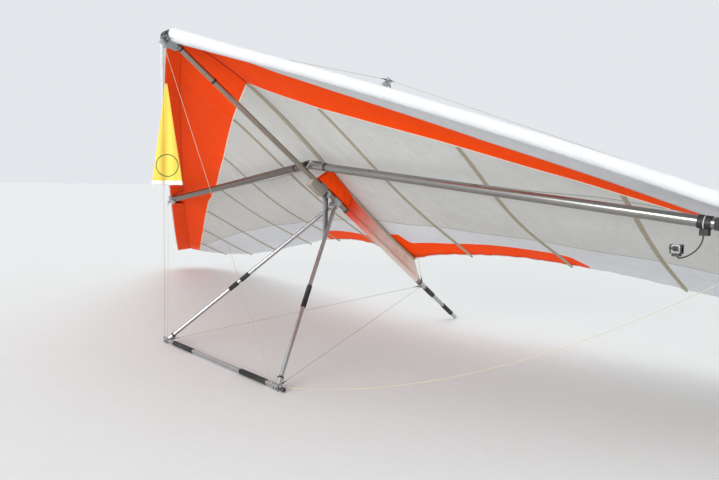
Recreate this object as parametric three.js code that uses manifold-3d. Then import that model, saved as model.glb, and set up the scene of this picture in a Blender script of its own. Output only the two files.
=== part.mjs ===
// A kingposted, single-surface hang glider with room for two, parked nose up on its base bar and the tail of
// its keel. Millimetres. +Z is up, the nose points along -Y, and the left wing points along +X.
// The wing is drawn on its keel: x to the left wing, y aft from the nose, z up from the keel's axis. The
// parked pitch then turns the whole glider, so that the base bar and the tail end stand on z = 0.
import * as THREE from "three";
import { mergeVertices } from "three/addons/utils/BufferGeometryUtils.js";
import Module from "manifold-3d";

const wasm = await Module();
wasm.setup();

const { sin, cos, exp, PI, hypot, min, max } = Math;
const degrees = PI / 180;
const gap = 0.3; // between pieces that touch
const past = 60; // how far a cutter runs beyond the piece that it cuts

// Driving dimensions
const pitch = 37.5 * degrees; // keel's slope when parked
const keelRadius = 21;
const keelStart = 12;
const keelEnd = 3234; // where the rear sleeve starts
const keelInset = 40; // how far the keel reaches into that sleeve
const tailInset = 30; // and the tail tube into its own
const tailTubeStart = 3374;
const tailTubeEnd = 3554;
const tailSleeveEnd = 3714;
const tailEnd = 3790;
const tailTubeRadius = 19;
const sleeveRadius = 24;
const tailSleeveRadius = 22;

const noseHalfAngle = 61.9 * degrees;
const edgeRoot = { x: 40, y: 30 }; // where a leading edge's axis meets the nose
const edgeLength = 5900;
const edgeSweep = 1.36e-5; // the edge bends aft under the sail's pull, per mm
const edgeRise = 0.0376;
const edgeDroop = -0.74e-5; // and droops on the top wires, per mm
const flatNose = 130; // the edges leave the nose plates level, and rise after them
const edgeRadius = 25;
const edgeRearRadius = 23;
const edgeJoint = 3980; // along the edge, where the rear tube leaves the front tube
const junctionAt = 3730; // along the edge, where the crossbar meets it

const crossbarCentre = { x: 40, y: 1470, z: 57 };
const crossbarRadius = 31;
const kingpostY = 1690;
const kingpostTop = 1190;
const rearTangY = 3194;
const noseLug = { y: 70, rise: 12 }; // where the top front wire is held

const apex = { y: 1870, z: -62 };
const corner = { x: 819, y: 1680, height: 22 }; // height of its middle over the ground
const downtubeRadius = 16;
const baseBarRadius = 15;
const gripRadius = 19;
const wireRadius = 1.6;
const tangReach = { over: 40, under: 94 }; // from the leading edge's axis to the side wires' ends
const sideSag = 230; // how far the middle of a lower side wire hangs below a straight line when parked

const sailThickness = 3;
const clothLift = 4 * gap; // between the round tube and the cloth's facets
const flapDrop = 6; // the pocket's flap ends this far under the sail
const pocketChord = { root: 95, perMetre: 13 }; // lower flap of the leading-edge pocket

// Trailing edge, by span station
const trailingEdge = new THREE.CatmullRomCurve3(
  [
    { span: 0, aft: 2950, up: 138 },
    { span: 1500, aft: 3128, up: 350 },
    { span: 3000, aft: 3549, up: 378 },
    { span: 4300, aft: 3728, up: 272 },
    { span: 5262, aft: 3555, up: 137 },
  ].map((p) => new THREE.Vector3(p.span, p.aft, p.up)),
);

const anodised = { color: 0x9a9488, metalness: 0.85, roughness: 0.38 };
const brightMetal = { color: 0xc9ccd0, metalness: 0.95, roughness: 0.25 };
const darkPlate = { color: 0x4c4f55, metalness: 0.8, roughness: 0.35 };
const blackPlastic = { color: 0x1b1b1d, metalness: 0, roughness: 0.55 };
const blackFoam = { color: 0x151515, metalness: 0, roughness: 0.95 };
const steelWire = { color: 0xb9b4a6, metalness: 0.6, roughness: 0.45 };
const whiteCloth = { color: 0xe9ebee, metalness: 0, roughness: 0.75 };
const orangeCloth = { color: 0xee3d12, metalness: 0, roughness: 0.7 };
const webbing = { color: 0x26272b, metalness: 0, roughness: 0.9 };

const glider = new THREE.Group();
const wing = new THREE.Group();
glider.add(wing);
wing.rotation.x = -pitch;
// the tail plug's lowest point and the base bar's both reach the ground
wing.position.z = tailEnd * sin(pitch) + tailTubeRadius * cos(pitch);
const cornerZ = (corner.height - wing.position.z + corner.y * sin(pitch)) / cos(pitch);

const at = (x, y, z) => new THREE.Vector3(x, y, z);
const down = at(0, sin(pitch), -cos(pitch)); // plumb, on the wing's axes
const sides = [
  { name: "left", sign: 1 },
  { name: "right", sign: -1 },
];

function add(name, geometry, finish, parent = wing) {
  const mesh = new THREE.Mesh(geometry, new THREE.MeshStandardMaterial(finish));
  mesh.name = name;
  parent.add(mesh);
  return mesh;
}

// Booleans
function solidOf(geometry) {
  const plain = geometry.clone();
  plain.deleteAttribute("normal");
  plain.deleteAttribute("uv");
  const merged = mergeVertices(plain, 1e-3);
  return new wasm.Manifold(
    new wasm.Mesh({
      numProp: 3,
      vertProperties: Float32Array.from(merged.attributes.position.array),
      triVerts: Uint32Array.from(merged.index.array),
    }),
  );
}

function geometryOf(solid) {
  const mesh = solid.getMesh();
  const geometry = new THREE.BufferGeometry();
  geometry.setAttribute("position", new THREE.BufferAttribute(mesh.vertProperties, 3));
  geometry.setIndex(new THREE.BufferAttribute(mesh.triVerts, 1));
  return geometry;
}

const joined = (first, ...rest) =>
  geometryOf(rest.reduce((solid, piece) => solid.add(solidOf(piece)), solidOf(first)));
const cut = (first, ...rest) =>
  geometryOf(rest.reduce((solid, piece) => solid.subtract(solidOf(piece)), solidOf(first)));

// Simple shapes
function rod(from, to, radius, segments = 16, endRadius = radius) {
  const along = to.clone().sub(from);
  const turn = new THREE.Quaternion().setFromUnitVectors(at(0, 1, 0), along.clone().normalize());
  const middle = from.clone().add(to).multiplyScalar(0.5);
  return new THREE.CylinderGeometry(endRadius, radius, along.length(), segments)
    .applyQuaternion(turn)
    .translate(middle.x, middle.y, middle.z);
}

function block(size, centre, turnX = 0, turnZ = 0) {
  return new THREE.BoxGeometry(...size).rotateX(turnX).rotateZ(turnZ).translate(...centre);
}

function sleeve(from, to, inner, outer, segments = 24) {
  const length = from.distanceTo(to);
  const profile = [
    [inner, 0],
    [outer, 0],
    [outer, length],
    [inner, length],
    [inner, 0],
  ].map(([r, y]) => new THREE.Vector2(r, y));
  const turn = new THREE.Quaternion().setFromUnitVectors(at(0, 1, 0), to.clone().sub(from).normalize());
  return new THREE.LatheGeometry(profile, segments)
    .applyQuaternion(turn)
    .translate(from.x, from.y, from.z);
}

function tubeAlong(curve, radius, steps, segments = 16) {
  const section = new THREE.Shape().absarc(0, 0, radius, 0, 2 * PI);
  return new THREE.ExtrudeGeometry(section, {
    extrudePath: curve,
    steps,
    curveSegments: segments,
  });
}

// A flat plate from an outline, thickness along z before it is turned
function plate(outline, thickness) {
  const shape = new THREE.Shape(outline.map(([x, y]) => new THREE.Vector2(x, y)));
  return new THREE.ExtrudeGeometry(shape, { depth: thickness, bevelEnabled: false });
}

// A closed solid between two facing grids of points
function between(columns, rows, outer, inner) {
  const points = [];
  for (const face of [outer, inner])
    for (let j = 0; j <= rows; j++)
      for (let i = 0; i <= columns; i++) points.push(...face(i / columns, j / rows).toArray());
  const width = columns + 1;
  const layer = width * (rows + 1);
  const corners = [];
  const quad = (a, b, c, d) => corners.push(a, b, c, a, c, d);
  for (let j = 0; j < rows; j++)
    for (let i = 0; i < columns; i++) {
      const a = j * width + i;
      quad(a, a + 1, a + width + 1, a + width);
      quad(layer + a, layer + a + width, layer + a + width + 1, layer + a + 1);
    }
  for (let i = 0; i < columns; i++) {
    const last = rows * width + i;
    quad(i, layer + i, layer + i + 1, i + 1);
    quad(last, last + 1, layer + last + 1, layer + last);
  }
  for (let j = 0; j < rows; j++) {
    const first = j * width;
    const end = first + columns;
    quad(first, first + width, layer + first + width, layer + first);
    quad(end, layer + end, layer + end + width, end + width);
  }
  const geometry = new THREE.BufferGeometry();
  geometry.setAttribute("position", new THREE.Float32BufferAttribute(points, 3));
  geometry.setIndex(corners);
  return solidOf(geometry).volume() < 0 ? turnedOut(geometry) : geometry;
}

function turnedOut(geometry) {
  const index = geometry.index.array;
  for (let i = 0; i < index.length; i += 3) {
    const second = index[i + 1];
    index[i + 1] = index[i + 2];
    index[i + 2] = second;
  }
  return geometry;
}

// The wing's lines
const edgeAt = (sign, s) =>
  at(
    sign * (edgeRoot.x + s * sin(noseHalfAngle)),
    edgeRoot.y + s * cos(noseHalfAngle) + edgeSweep * s * s,
    edgeRise * max(0, s - flatNose) + edgeDroop * s * s,
  );
const stationOf = (span) => (span - edgeRoot.x) / sin(noseHalfAngle);

function trailingAt(span) {
  let low = 0;
  let high = 1;
  for (let k = 0; k < 40; k++) {
    const middle = (low + high) / 2;
    if (trailingEdge.getPoint(middle).x < span) low = middle;
    else high = middle;
  }
  return trailingEdge.getPoint((low + high) / 2);
}

// The sail's top face: a straight chord from edge to edge, with a batten's curve over it, scaled by its own
// peak. With no wind under it the sail lies nearly flat, and the keel holds it up a little.
const battenTail = 2.6;
const battenPeak = 0.1192;
const battenCurve = (t) => (t * (1 - t) ** battenTail) / battenPeak;
const camberOf = { keel: 0.045, outboard: 0.02, span: 600 };

// Behind its front fifth the slack cloth hangs, most near the second batten, and the keel holds it up
const hang = { depth: 70, span: 1400, reach: 1100, keel: 300, from: 0.2, roundness: 1.5 };
function hangAt(span, t) {
  const behind = max(0, (t - hang.from) / (1 - hang.from));
  const along = max(0, sin(PI * behind)) ** hang.roundness;
  const across = exp(-(((span - hang.span) / hang.reach) ** 2)) * (1 - exp(-((span / hang.keel) ** 2)));
  return hang.depth * along * across;
}
function sailAt(sign, span, t, drop = 0) {
  const front = edgeAt(1, stationOf(span));
  const back = trailingAt(span);
  const chord = back.y - front.y;
  const camber = camberOf.keel + (camberOf.outboard - camberOf.keel) * min(1, span / camberOf.span);
  const top = edgeRadius + clothLift + sailThickness;
  const straight = (front.z + top) * (1 - t) + back.z * t;
  const z = straight + camber * chord * battenCurve(t) - hangAt(span, t);
  return at(sign * span, front.y + chord * t, z - drop);
}

// Where a wire leaves a fitting: a lug as long as that fitting needs, then the wire
const lugRadius = 5;
const lugLength = {
  nose: 34,
  junction: 34,
  cap: 60,
  capSide: 50,
  rearTop: 66,
  rear: 60,
  corner: 60,
  catch: 38,
};
const towards = (from, to, distance) =>
  from.clone().add(to.clone().sub(from).normalize().multiplyScalar(distance));
const lug = (from, to, length) => rod(from, towards(from, to, length), lugRadius, 8);
const wire = (from, to, fromLug, toLug) =>
  rod(towards(from, to, fromLug + gap), towards(to, from, toLug + gap), wireRadius, 8);

// Keel
const onKeel = (from, to, radius) => rod(at(0, from, 0), at(0, to, 0), radius, 24);
add("keel_tube", onKeel(keelStart, keelEnd + keelInset, keelRadius), anodised);
add(
  "keel_rear_sleeve",
  cut(
    onKeel(keelEnd, tailTubeStart, sleeveRadius),
    onKeel(keelEnd - past, keelEnd + keelInset + gap, keelRadius + gap),
  ),
  blackPlastic,
);
add("tail_tube", onKeel(tailTubeStart + gap, tailTubeEnd + tailInset, tailTubeRadius), brightMetal);
add(
  "tail_sleeve",
  cut(
    onKeel(tailTubeEnd, tailSleeveEnd, tailSleeveRadius),
    onKeel(tailTubeEnd - past, tailTubeEnd + tailInset + gap, tailTubeRadius + gap),
  ),
  blackPlastic,
);
add("tail_plug", onKeel(tailSleeveEnd + gap, tailEnd, tailTubeRadius), brightMetal);

// Points that the wires run between
const noseTop = at(0, noseLug.y, edgeRadius + noseLug.rise);
const kingpostTip = at(0, kingpostY, kingpostTop);
const rearTang = at(0, rearTangY, 0);
const cornerAt = (sign) => at(sign * corner.x, corner.y, cornerZ);
const junctionPoint = (sign) => edgeAt(sign, junctionAt);
const topTang = (sign) => junctionPoint(sign).add(at(0, 0, tangReach.over));
const sideTang = (sign) => junctionPoint(sign).add(at(0, 0, -tangReach.under));

// A lower side wire hangs in a shallow curve, from a part of the way to another
class SideLine extends THREE.Curve {
  constructor(sign, start = 0, end = 1) {
    super();
    Object.assign(this, { sign, start, end });
  }
  getPoint(u) {
    const t = this.start + (this.end - this.start) * u;
    const straight = cornerAt(this.sign).lerp(sideTang(this.sign), t);
    return straight.addScaledVector(down, 4 * sideSag * t * (1 - t));
  }
}
const sideLength = cornerAt(1).distanceTo(sideTang(1));
const sideAt = (sign, along) => new SideLine(sign).getPoint(along / sideLength);
const lugEnd = 2 * gap; // the wire starts this far beyond a lug's end

// Nose: two plates hold the keel's sleeve and both leading edges
const noseSleeve = { start: 8, end: 120 };
add(
  "nose_sleeve",
  sleeve(at(0, noseSleeve.start, 0), at(0, noseSleeve.end, 0), keelRadius + gap, edgeRadius),
  darkPlate,
);
const noseOutline = [
  [-34, -8],
  [34, -8],
  [96, 36],
  [100, 62],
  [26, 124],
  [-26, 124],
  [-100, 62],
  [-96, 36],
];
const noseThickness = 4;
const noseFace = edgeRadius + 2 * gap;
add(
  "nose_plate_upper",
  joined(
    plate(noseOutline, noseThickness).translate(0, 0, noseFace),
    rod(at(0, noseLug.y, noseFace), noseTop, 9, 12),
    lug(noseTop, kingpostTip, lugLength.nose),
  ),
  darkPlate,
);
const hook = { width: 26, length: 40, y: 22, depth: 16 };
const hookZ = -noseFace - noseThickness - hook.depth;
add(
  "nose_plate_lower",
  joined(
    plate(noseOutline, noseThickness).translate(0, 0, -noseFace - noseThickness),
    block([hook.width, hook.length, hook.depth + 1], [0, hook.y, hookZ + (hook.depth + 1) / 2]),
  ),
  darkPlate,
);

// Leading edges: a front tube, a rear tube and a cap
class EdgeLine extends THREE.Curve {
  constructor(sign, from, to) {
    super();
    Object.assign(this, { sign, from, to });
  }
  getPoint(t) {
    return edgeAt(this.sign, this.from + (this.to - this.from) * t);
  }
}
const capLength = 45;
const edgeStart = 14;
for (const { name, sign } of sides) {
  add(
    `leading_edge_front_${name}`,
    tubeAlong(new EdgeLine(sign, edgeStart, edgeJoint - gap), edgeRadius, 26, 6),
    anodised,
  );
  add(
    `leading_edge_rear_${name}`,
    tubeAlong(new EdgeLine(sign, edgeJoint, edgeLength - capLength), edgeRearRadius, 9, 6),
    anodised,
  );
  const capStart = edgeAt(sign, edgeLength - capLength + gap);
  add(
    `edge_cap_${name}`,
    rod(capStart, edgeAt(sign, edgeLength), edgeRearRadius + 1, 16, edgeRearRadius - 8),
    blackPlastic,
  );
}

// Crossbar: two halves, hinged over the keel and bracketed to the leading edges
const crossbarEnd = 150; // its end falls short of the leading edge's axis
const crossbarDrop = 46; // and lies lower than the edge there
const crossbarAim = (sign) => junctionPoint(sign).add(at(0, 0, -crossbarDrop));
const crossbarInner = (sign) => at(sign * crossbarCentre.x, crossbarCentre.y, crossbarCentre.z);
const crossbarOuter = (sign) => towards(crossbarAim(sign), crossbarInner(sign), crossbarEnd);
const bracketRing = { inner: edgeRadius + gap, outer: 34, half: 50 };
const bracketPlate = { width: 44, thickness: 5, overlap: 60, clear: 0.6 };
const bracketWeb = { at: 66, length: 80 };
const tangRadius = 7;
for (const { name, sign } of sides) {
  const inner = crossbarInner(sign);
  const outer = crossbarOuter(sign);
  const junction = junctionPoint(sign);
  const aim = crossbarAim(sign);
  add(`crossbar_${name}`, rod(inner, outer, crossbarRadius, 20), anodised);
  const ring = sleeve(
    edgeAt(sign, junctionAt - bracketRing.half),
    edgeAt(sign, junctionAt + bracketRing.half),
    bracketRing.inner,
    bracketRing.outer,
    16,
  );
  const turn = Math.atan2(outer.y - inner.y, outer.x - inner.x);
  const reach = crossbarEnd + bracketPlate.overlap;
  const plates = [1, -1].map((up) => {
    const middle = towards(aim, inner, reach / 2);
    const lift = crossbarRadius + gap + bracketPlate.thickness / 2 + bracketPlate.clear;
    const centre = [middle.x, middle.y, middle.z + up * lift];
    return block([reach, bracketPlate.width, bracketPlate.thickness], centre, 0, turn);
  });
  const web = towards(aim, inner, bracketWeb.at);
  add(
    `crossbar_bracket_${name}`,
    cut(
      joined(
        ring,
        ...plates,
        block([bracketWeb.length, bracketPlate.width, 2 * crossbarRadius + 4], web.toArray(), 0, turn),
        rod(junction, topTang(sign), tangRadius, 8),
        rod(junction, sideTang(sign), tangRadius, 8),
        lug(topTang(sign), kingpostTip, lugLength.junction),
        rod(sideTang(sign), sideAt(sign, sideLength - lugLength.junction), lugRadius, 8),
      ),
      rod(
        edgeAt(sign, junctionAt - 3 * past),
        edgeAt(sign, junctionAt + 3 * past),
        bracketRing.inner + 0.8,
        16,
      ),
      rod(towards(outer, inner, -gap), towards(outer, inner, reach), crossbarRadius + 2 * gap, 16),
    ),
    brightMetal,
  );
}

// The centre hinge straddles both inner ends, and its pad rides on the keel
const hingeSize = { x: 150, y: 44, z: 5, lap: 8, clear: 0.5 };
const padRadius = 14;
const centreTurn = Math.atan2(junctionPoint(1).y - crossbarCentre.y, junctionPoint(1).x);
const hingeLeaf = (sign) =>
  block(
    [hingeSize.x, hingeSize.y, hingeSize.z],
    [
      sign * (hingeSize.x / 2 - hingeSize.lap) * cos(centreTurn),
      crossbarCentre.y + (hingeSize.x / 2 - hingeSize.lap) * sin(centreTurn),
      crossbarCentre.z + crossbarRadius + gap + hingeSize.z / 2 + hingeSize.clear,
    ],
    0,
    sign * centreTurn,
  );
add(
  "crossbar_hinge",
  joined(
    hingeLeaf(1),
    hingeLeaf(-1),
    rod(
      at(0, crossbarCentre.y, keelRadius + gap),
      at(0, crossbarCentre.y, crossbarCentre.z + crossbarRadius + 4),
      padRadius,
      16,
    ),
  ),
  brightMetal,
);

// Kingpost: a faired tube on a saddle
const kingpostChord = 60;
const kingpostWidth = 26;
const kingpostFoot = keelRadius + 16;
const kingpostCap = { height: 48, below: 40 }; // it starts below the wires' meeting point
const saddle = { width: 40, length: 84, height: 30, cheek: 6, cheekSize: 60, cheekZ: 50 };
const cheekX = kingpostWidth / 2 + gap + saddle.cheek / 2;
const faired = new THREE.Shape().absellipse(0, 0, kingpostWidth / 2, kingpostChord / 2, 0, 2 * PI);
add(
  "kingpost",
  new THREE.ExtrudeGeometry(faired, {
    depth: kingpostTop - kingpostCap.below - kingpostFoot,
    bevelEnabled: false,
    curveSegments: 20,
  }).translate(0, kingpostY, kingpostFoot),
  anodised,
);
add(
  "kingpost_base",
  cut(
    joined(
      block([saddle.width, saddle.length, saddle.height], [0, kingpostY, keelRadius]),
      ...sides.map(({ sign }) =>
        block([saddle.cheek, saddle.cheekSize, saddle.cheekSize], [sign * cheekX, kingpostY, saddle.cheekZ]),
      ),
    ),
    onKeel(kingpostY - past, kingpostY + past, keelRadius + gap),
  ),
  darkPlate,
);
add(
  "kingpost_cap",
  joined(
    block(
      [kingpostWidth + 4, kingpostChord - 8, kingpostCap.height],
      [0, kingpostY, kingpostTop - kingpostCap.below + gap + kingpostCap.height / 2],
    ),
    lug(kingpostTip, noseTop, lugLength.cap),
    lug(kingpostTip, rearTang, lugLength.cap),
    ...sides.map(({ sign }) => lug(kingpostTip, topTang(sign), lugLength.capSide)),
  ),
  blackPlastic,
);

// Rear tang on the keel
const rearRing = { ahead: 46, behind: 14, wall: 5 };
add(
  "rear_tang",
  cut(
    joined(
      onKeel(rearTangY - rearRing.ahead, rearTangY + rearRing.behind, keelRadius + rearRing.wall),
      lug(rearTang, kingpostTip, lugLength.rearTop),
      ...sides.map(({ sign }) => lug(rearTang, cornerAt(sign), lugLength.rear)),
    ),
    onKeel(rearTangY - 2 * past, keelEnd - 1, keelRadius + gap),
  ),
  brightMetal,
);

// Control frame. Its knuckle turns on a pin between the lugs of the apex bracket.
const knuckleRadius = 22;
const lugInside = 42;
const lugThickness = 6;
const pinRadius = 6;
const pinHalf = 56;
const apexRing = { half: 40, wall: 7 };
const apexYoke = { length: 36, thickness: 12, lugRound: 18 };
const downtubeSpread = 25; // half the distance between the downtubes' axes at the pin
add(
  "apex_bracket",
  cut(
    joined(
      onKeel(apex.y - apexRing.half, apex.y + apexRing.half, keelRadius + apexRing.wall),
      block(
        [2 * (lugInside + lugThickness), apexYoke.length, apexYoke.thickness],
        [0, apex.y, -keelRadius - 1],
      ),
      ...sides.map(({ sign }) =>
        block(
          [lugThickness, apexYoke.length, -apex.z - keelRadius + 8],
          [sign * (lugInside + lugThickness / 2), apex.y, (apex.z - keelRadius + 4) / 2],
        ),
      ),
      ...sides.map(({ sign }) =>
        rod(
          at(sign * lugInside, apex.y, apex.z),
          at(sign * (lugInside + lugThickness), apex.y, apex.z),
          apexYoke.lugRound,
          24,
        ),
      ),
    ),
    onKeel(apex.y - past, apex.y + past, keelRadius + gap),
    rod(at(-past, apex.y, apex.z), at(past, apex.y, apex.z), pinRadius + gap, 16),
  ),
  brightMetal,
);
add(
  "apex_knuckle",
  joined(
    rod(at(-lugInside + 1, apex.y, apex.z), at(lugInside - 1, apex.y, apex.z), knuckleRadius, 24),
    rod(at(-pinHalf, apex.y, apex.z), at(pinHalf, apex.y, apex.z), pinRadius, 16),
  ),
  brightMetal,
);

const downtubeTop = (sign) => at(sign * downtubeSpread, apex.y, apex.z);
const cornerSocket = 62;
const downtubeFoot = 28;
const downtubeGrip = { from: 0.5, to: 0.62 }; // parts of the downtube's length, from its top
for (const { name, sign } of sides) {
  const top = downtubeTop(sign);
  const foot = cornerAt(sign);
  const length = top.distanceTo(foot);
  add(
    `downtube_${name}`,
    cut(
      rod(top, towards(foot, top, downtubeFoot), downtubeRadius, 20),
      rod(at(-2 * past, apex.y, apex.z), at(2 * past, apex.y, apex.z), knuckleRadius + 2 * gap, 32),
    ),
    anodised,
  );
  add(
    `downtube_grip_${name}`,
    sleeve(
      towards(top, foot, downtubeGrip.from * length),
      towards(top, foot, downtubeGrip.to * length),
      downtubeRadius + gap,
      gripRadius,
      20,
    ),
    blackFoam,
  );
}

// Corners: a block on the ground, a socket for the downtube and lugs for the wires. A small pin ahead of each
// block carries the eye of a nose wire.
const cornerBlock = { width: 58, length: 40, wall: 4, barPocket: 8 };
const eye = { radius: 8, width: 6, pin: 3 };
const pivotPlace = { inward: 16, ahead: 44, rise: 6, arm: 5.5, armRadius: 5 };
const pivotAt = (sign) =>
  at(sign * (corner.x - pivotPlace.inward), corner.y - pivotPlace.ahead, cornerZ + pivotPlace.rise);
const eyeAt = (sign) => pivotAt(sign).add(at((-sign * eye.width) / 2, 0, 0));
const beside = (point, offset) => point.clone().add(at(offset, 0, 0));
for (const { name, sign } of sides) {
  const foot = cornerAt(sign);
  const top = downtubeTop(sign);
  const pivot = pivotAt(sign);
  const arm = beside(pivot, sign * pivotPlace.arm);
  add(
    `corner_${name}`,
    cut(
      joined(
        block([cornerBlock.width, cornerBlock.length, 2 * corner.height], foot.toArray(), pitch),
        rod(
          towards(foot, top, cornerBlock.wall),
          towards(foot, top, cornerSocket),
          downtubeRadius + cornerBlock.wall,
          20,
        ),
        lug(foot, rearTang, lugLength.corner),
        rod(foot, sideAt(sign, lugLength.corner), lugRadius, 8),
        rod(at(arm.x, foot.y, arm.z), arm, pivotPlace.armRadius, 12),
        rod(beside(pivot, sign * 0.5), beside(pivot, sign * 10), eye.radius, 16),
        rod(beside(pivot, -sign * (eye.width + 2)), beside(pivot, sign * 2), eye.pin, 12),
      ),
      rod(
        towards(foot, top, downtubeFoot - gap),
        towards(foot, top, cornerSocket + past),
        downtubeRadius + gap,
        24,
      ),
      rod(
        beside(foot, -sign * cornerBlock.barPocket),
        beside(foot, -sign * (cornerBlock.barPocket + past)),
        baseBarRadius + gap,
        24,
      ),
    ),
    brightMetal,
  );
}
const baseBarEnd = corner.x - cornerBlock.barPocket - gap;
add(
  "base_bar",
  rod(at(-baseBarEnd, corner.y, cornerZ), at(baseBarEnd, corner.y, cornerZ), baseBarRadius, 24),
  brightMetal,
);
const baseGrip = { inner: 355, outer: 690 };
for (const { name, sign } of sides)
  add(
    `base_bar_grip_${name}`,
    sleeve(
      at(sign * baseGrip.inner, corner.y, cornerZ),
      at(sign * baseGrip.outer, corner.y, cornerZ),
      baseBarRadius + gap,
      gripRadius,
      20,
    ),
    blackFoam,
  );

// Nose wires: they leave the corners at small pins and meet at a catch under the nose
const catchSize = { width: 30, length: 44, height: 24 };
const catchCentre = at(0, hook.y, hookZ - gap - catchSize.height / 2);
add(
  "nose_catch",
  joined(
    block([catchSize.width, catchSize.length, catchSize.height], catchCentre.toArray()),
    ...sides.map(({ sign }) => lug(catchCentre, eyeAt(sign), lugLength.catch)),
  ),
  brightMetal,
);
for (const { name, sign } of sides) {
  const centre = eyeAt(sign);
  add(
    `nose_wire_${name}`,
    cut(
      joined(
        rod(beside(centre, -eye.width / 2), beside(centre, eye.width / 2), eye.radius, 16),
        rod(
          towards(centre, catchCentre, eye.radius - eye.pin),
          towards(catchCentre, centre, lugLength.catch + gap),
          wireRadius,
          8,
        ),
      ),
      rod(beside(centre, -2 * eye.width), beside(centre, 2 * eye.width), eye.pin + gap, 16),
    ),
    steelWire,
  );
}

// Stays from the corners and the kingpost
for (const { name, sign } of sides) {
  const foot = cornerAt(sign);
  add(`rear_wire_${name}`, wire(foot, rearTang, lugLength.corner, lugLength.rear), steelWire);
  const start = (lugLength.corner + lugEnd) / sideLength;
  const end = 1 - (lugLength.junction + lugEnd) / sideLength;
  add(`side_wire_${name}`, tubeAlong(new SideLine(sign, start, end), wireRadius, 24, 4), steelWire);
  add(
    `top_side_wire_${name}`,
    wire(kingpostTip, topTang(sign), lugLength.capSide, lugLength.junction),
    steelWire,
  );
}
add("top_front_wire", wire(noseTop, kingpostTip, lugLength.nose, lugLength.cap), steelWire);
add("top_rear_wire", wire(rearTang, kingpostTip, lugLength.rearTop, lugLength.cap), steelWire);

// Hang loops: two closed straps side by side on a pin ahead of the apex
const hangPin = { y: 1752, z: -37, radius: 5, half: 35 };
const hangEye = 8; // inner radius of the strap where it turns round the pin
const hangCheek = { x: 33, thickness: 5, length: 26, height: 44, rise: 8 };
const hangRing = { half: 18, wall: 5, plate: 8 };
add(
  "hang_bracket",
  cut(
    joined(
      onKeel(hangPin.y - hangRing.half, hangPin.y + hangRing.half, keelRadius + hangRing.wall),
      ...sides.map(({ sign }) =>
        block(
          [hangCheek.thickness, hangCheek.length, hangCheek.height],
          [sign * hangCheek.x, hangPin.y, hangPin.z + hangCheek.rise],
        ),
      ),
      block(
        [2 * hangPin.half, hangCheek.length, hangRing.plate],
        [0, hangPin.y, -keelRadius - 1],
      ),
      rod(
        at(-hangPin.half, hangPin.y, hangPin.z),
        at(hangPin.half, hangPin.y, hangPin.z),
        hangPin.radius,
        16,
      ),
    ),
    onKeel(hangPin.y - past, hangPin.y + past, keelRadius + gap),
  ),
  brightMetal,
);
const hangingDown = new THREE.Matrix4().makeBasis(
  at(0, cos(pitch), sin(pitch)),
  at(0, -sin(pitch), cos(pitch)),
  at(1, 0, 0),
);
const strapWidth = 25;
const strapThickness = 3;
const strapApart = 14; // from the keel's plane
function strapLoop(length, x) {
  const stadium = (radius) => {
    const path = new THREE.Shape();
    path.absarc(0, 0, radius, 0, PI);
    path.absarc(0, -length, radius, PI, 2 * PI);
    path.closePath();
    return path;
  };
  const outline = stadium(hangEye + strapThickness);
  outline.holes.push(stadium(hangEye));
  const shape = { depth: strapWidth, bevelEnabled: false, curveSegments: 10 };
  return new THREE.ExtrudeGeometry(outline, shape)
    .translate(0, 0, -strapWidth / 2)
    .applyMatrix4(hangingDown)
    .translate(x, hangPin.y, hangPin.z);
}
const hangLoops = [
  { name: "main", length: 300, x: strapApart },
  { name: "backup", length: 345, x: -strapApart },
];
for (const { name, length, x } of hangLoops) add(`hang_loop_${name}`, strapLoop(length, x), webbing);

// A padded box under the keel where the crossbar crosses it
const keelBox = { width: 66, length: 165, height: 60, y: 1635, z: -keelRadius - 20 };
add(
  "keel_box",
  cut(
    block([keelBox.width, keelBox.length, keelBox.height], [0, keelBox.y, keelBox.z]),
    onKeel(keelBox.y - 2 * past, keelBox.y + 2 * past, keelRadius + gap),
  ),
  { color: 0x77797c, metalness: 0.1, roughness: 0.7 },
);

// Sail: one half each side of the keel's plane, from behind the nose plates to the tip
const sailInner = 0.2;
const sailColumns = 9;
const sailRows = 15;
const pocketStart = 128; // along the edge, clear of the nose plates
const pocketEnd = edgeLength - capLength - 32;
const pocketRound = 20; // facets that a full turn round the tube would have
const spanOf = (s) => edgeAt(1, s).x;
const clothFront = spanOf(pocketStart);
const clothEnd = spanOf(pocketEnd);
const noseBack = 132; // the cloth's front edge at the keel
function clothStart(span) {
  const chord = trailingAt(span).y - edgeAt(1, stationOf(span)).y;
  if (span >= clothFront) return 0;
  const y = noseBack + ((edgeAt(1, pocketStart).y - noseBack) * span) / clothFront;
  return (y - edgeAt(1, stationOf(span)).y) / chord;
}
const firstRow = 1 / sailRows; // part of the rows that the nose's corner takes
const sailSpan = (j) =>
  j <= firstRow
    ? sailInner + ((clothFront - sailInner) * j) / firstRow
    : clothFront + ((clothEnd - clothFront) * (j - firstRow)) / (1 - firstRow);
const frontCrowding = 1.3; // the columns stand closer where the cloth curves most
function sailHalf(sign) {
  const face = (drop) => (i, j) => {
    const span = sailSpan(j);
    const start = clothStart(span);
    return sailAt(sign, span, start + (1 - start) * i ** frontCrowding, drop);
  };
  return between(sailColumns, sailRows, face(0), face(sailThickness));
}

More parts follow.
